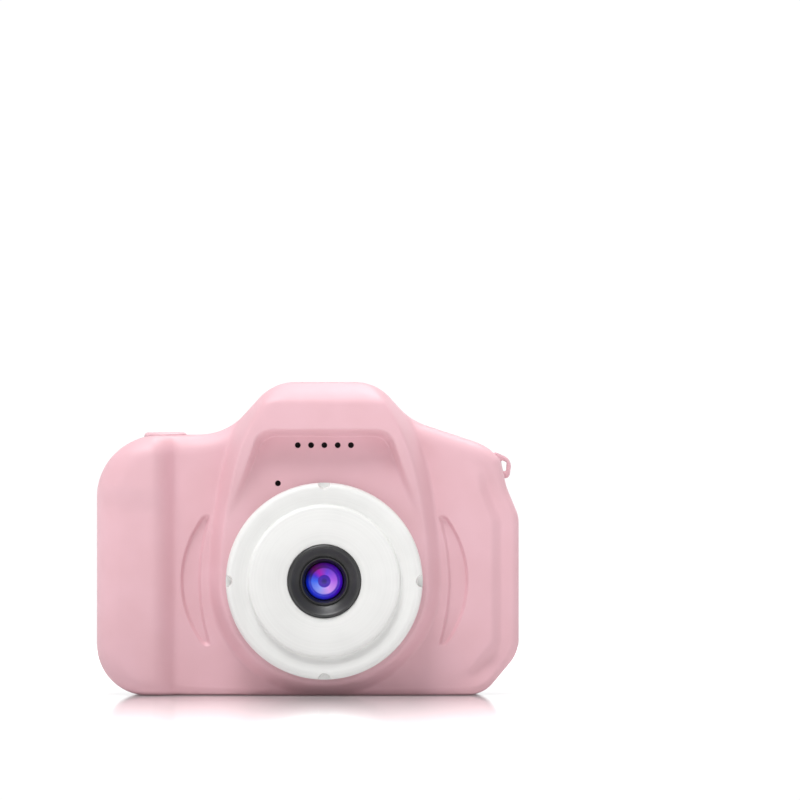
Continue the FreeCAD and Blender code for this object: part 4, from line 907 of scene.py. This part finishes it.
# the parts inside: two tones, roughness range, grain and bump in millimetres, fixed values, and the nodes so finished
innerFinishes = {
    "blackNylon": (("#161618", "#1E1E20"), (0.5, 0.62), 0.3, 0.006, plastic,
                   "lens_barrel lens_holder key_switches shutter_plunger shutter_switch reset_switch reset_plunger "
                   "speaker_frame power_plunger up_plunger down_plunger mode_plunger menu_plunger"),  # matt, rough
    "glassEpoxySolderMask": (("#12492F", "#1B5A3B"), (0.25, 0.36), 0.25, 0.006, plastic,
                             "camera_board shutter_board main_board"),  # glossy green over the weave
    "epoxyMouldedChip": (("#17171A", "#202023"), (0.42, 0.55), 0.1, 0.003, plastic,
                         "image_sensor processor_chip memory_chip power_chip"),  # fine satin black
    "steelTinPlated": (("#B9BBBD", "#C8CACC"), (0.26, 0.38), 0.2, 0.003, steel,
                       "display_backlight crystal usb_socket card_socket speaker_magnet"),  # soft grey shine
    "ceramicAndTin": (("#7E6448", "#A08A6C"), (0.3, 0.5), 0.6, 0.004, plastic, "board_parts status_led"),  # tan, patchy
    "polyimideFlex": (("#A4601F", "#BC7A34"), (0.22, 0.34), 0.6, 0.003, plastic,
                      "camera_flex display_flex"),  # amber and shiny
    "polyurethaneFoam": (("#1F1F20", "#2A2A2C"), (0.8, 0.95), 0.5, 0.05, plastic,
                         "display_foam microphone"),  # dull, with open pores
    "acrylicFoamTape": (("#DAD6CC", "#E4E0D6"), (0.6, 0.75), 0.5, 0.02, plastic, "battery_tape"),  # dull cream
    "polyesterCellWrap": (("#2F58A2", "#3B68B6"), (0.2, 0.3), 1.2, 0.01, plastic, "battery_cell"),  # wrinkled blue film
    "siliconeRubber": (("#1C1C1E", "#252527"), (0.6, 0.72), 0.4, 0.006, plastic, "mic_boot"),  # velvety black
    "pvcWireCover": (("#9E2320", "#B4302B"), (0.35, 0.45), 0.4, 0.004, plastic,
                     "battery_leads speaker_leads microphone_leads shutter_leads"),  # waxy red
    "polymerFilmCone": (("#232324", "#2D2D2E"), (0.3, 0.4), 0.5, 0.004, plastic, "speaker_cone"),  # smooth dark film
    "polyesterMesh": (("#141414", "#2A2A2A"), (0.7, 0.9), 0.15, 0.03, plastic, "speaker_mesh"),  # woven dull black
    "lcdGlassAndPolariser": (("#20262C", "#2A3138"), (0.08, 0.14), 5.0, 0.001, plastic, "display_panel"),  # dark mirror
    "smokedAcrylicPipe": (("#120C0E", "#1A1214"), (0.2, 0.3), 0.3, 0.003, plastic, "light_pipe"),  # nearly black
    "opticalGlass": (("#EEF4F2", "#F4F8F6"), (0.02, 0.04), 3.0, 0.0005, {**plastic, "Transmission Weight": 1.0},
                     "lens_rear_element"),  # clear
}


def paint(piece, material):
    piece.data.materials.clear()
    piece.data.materials.append(material)


def place(piece, material, bodyName, slot, *replaced):
    paint(piece, material)
    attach(piece, bodyName)
    if replaced:
        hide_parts(*replaced)


for name, (*finish, owners) in innerFinishes.items():
    material = grained(name, *finish)
    for owner in owners.split():
        paint(nodes[owner], material)
for nodeName, material in (("lens_screws", zincSteel), ("board_screws", zincSteel), ("flex_connector", whiteAbs)):
    paint(nodes[nodeName], material)
for piece, material, slot, nodeName in (
        (frontSkin, softTouchPink, "pink_shell", "front_shell"), (rearSkin, softTouchPink, "pink_shell", "rear_shell"),
        (lensBezel, turnedWhite(), "white_bezel", "lens_bezel"), (lensHood, hoodBlack(), "black_hood", "lens_hood"),
        (coatedGlass, lensPaintedReflections(), "coated_glass", "lens_front_element"),
        (caseScrews, zincSteel, "screw_zinc", "case_screws"),
        (windowPane, printedAcrylic, "display_glass", "display_window"),
        (eyePane, printedAcrylic, "display_glass", "viewfinder_window")):
    place(piece, material, "camera_body", slot, nodeName)
place(shutterCap, shutterPink, "shutter_button", "pink_button", "shutter_button")
for keyName, cap in keyCaps.items():
    place(cap, whiteAbs, keyName + "_button", "white_key", keyName + "_key")
    place(keySign[keyName], signAbs, keyName + "_button", "white_key")
for part, pieces in pictureShapes.items():
    lit = litPicture("litPicture" + part.title(), pictureColours[part], display["skyGlow" if part == "sky" else "glow"])
    for piece in pieces:
        place(piece, lit, "camera_body", "display_glass")
print("materials set")

# metres, degrees and watts; framed is the width that the camera takes in where it looks
studio = dict(lookAt=(0.0177, 0.0, 0.0566), distance=3.0, tilt=0.3, framed=0.154, sensor=36.0, dome=1.1,
              tent=[(0.0, 0.94), (0.08, 0.94), (0.3, 0.36), (0.7, 0.42), (1.0, 0.5)],
              lamps=[("key", (-0.2, -0.36, 1.0), 0.45, 8.3), ("rearKey", (0.2, 0.42, 0.98), 0.45, 5.5)],
              lampsAt=(0, 0, 0.03))


def makeCamera():
    look, away, tilt = Vector(studio["lookAt"]), studio["distance"], math.radians(studio["tilt"])
    data = bpy.data.cameras.new("camera")
    data.sensor_width = studio["sensor"]
    data.lens = studio["sensor"] * away / studio["framed"]
    data.clip_end = 50.0
    camera = bpy.data.objects.new("camera", data)
    camera.location = look + Vector((0, -away * math.cos(tilt), away * math.sin(tilt)))
    camera.rotation_euler = (look - camera.location).to_track_quat("-Z", "Y").to_euler()
    bpy.context.scene.collection.objects.link(camera)
    bpy.context.scene.camera = camera


# near and far are metres from the middle, between which the glow goes from dim to glow; size and drop are millimetres
floor = dict(roughness=0.06, near=0.05, far=0.3, dim=0.03, glow=0.8, size=900, drop=0.05, cloud=0.003)


def makeFloor():
    # acrylic lit from below: the glow grows away from the middle, so the reflection fades into white
    material, tree, spot, shader = startMaterial("palePolishedAcrylic", {
        "IOR": 1.45, "Roughness": floor["roughness"], "Emission Color": (1, 1, 1, 1)})
    cloud = add(tree, "TexNoise", values={"Scale": floor["cloud"] * perMm}, links={"Vector": spot})
    tree.links.new(ramp(tree, cloud.outputs["Fac"], [(0.3, "#E6E6E6"), (0.7, "#ECECEC")]), shader.inputs["Base Color"])
    away = add(tree, "VectorMath", settings={"operation": "LENGTH"}, links={0: spot})
    glow = add(tree, "MapRange", values={"From Min": floor["near"], "From Max": floor["far"],
                                                   "To Min": floor["dim"], "To Max": floor["glow"]},
               links={"Value": away.outputs["Value"]})
    tree.links.new(glow.outputs["Result"], shader.inputs["Emission Strength"])
    half, z = floor["size"] / 2, -floor["drop"]
    sheet = makePiece("floor", [(-half, -half, z), (half, -half, z), (half, half, z), (-half, half, z)], [(0, 1, 2, 3)])
    paint(sheet, material)


def makeLights():
    # a tent: a bright band at the horizon, dimmer walls, and a bright top
    world = bpy.data.worlds.new("studio")
    bpy.context.scene.world = world
    world.use_nodes = True
    tree = world.node_tree
    tree.nodes.clear()
    direction = add(tree, "TexCoord").outputs["Generated"]
    height = add(tree, "SeparateXYZ", links={"Vector": direction}).outputs["Z"]
    sky = ramp(tree, height, [(at, (v, v, v * 1.005, 1)) for at, v in studio["tent"]])
    back = add(tree, "Background", values={"Strength": studio["dome"]}, links={"Color": sky})
    add(tree, "OutputWorld", links={"Surface": back.outputs["Background"]})
    for name, where, size, power in studio["lamps"]:
        data = bpy.data.lights.new(name, "AREA")
        data.size, data.energy = size, power
        light = bpy.data.objects.new(name, data)
        light.location = where
        light.rotation_euler = (Vector(studio["lampsAt"]) - light.location).to_track_quat("-Z", "Y").to_euler()
        bpy.context.scene.collection.objects.link(light)


makeCamera()
makeFloor()
makeLights()
bpy.context.scene.view_settings.view_transform = "Standard"
print("stage set")
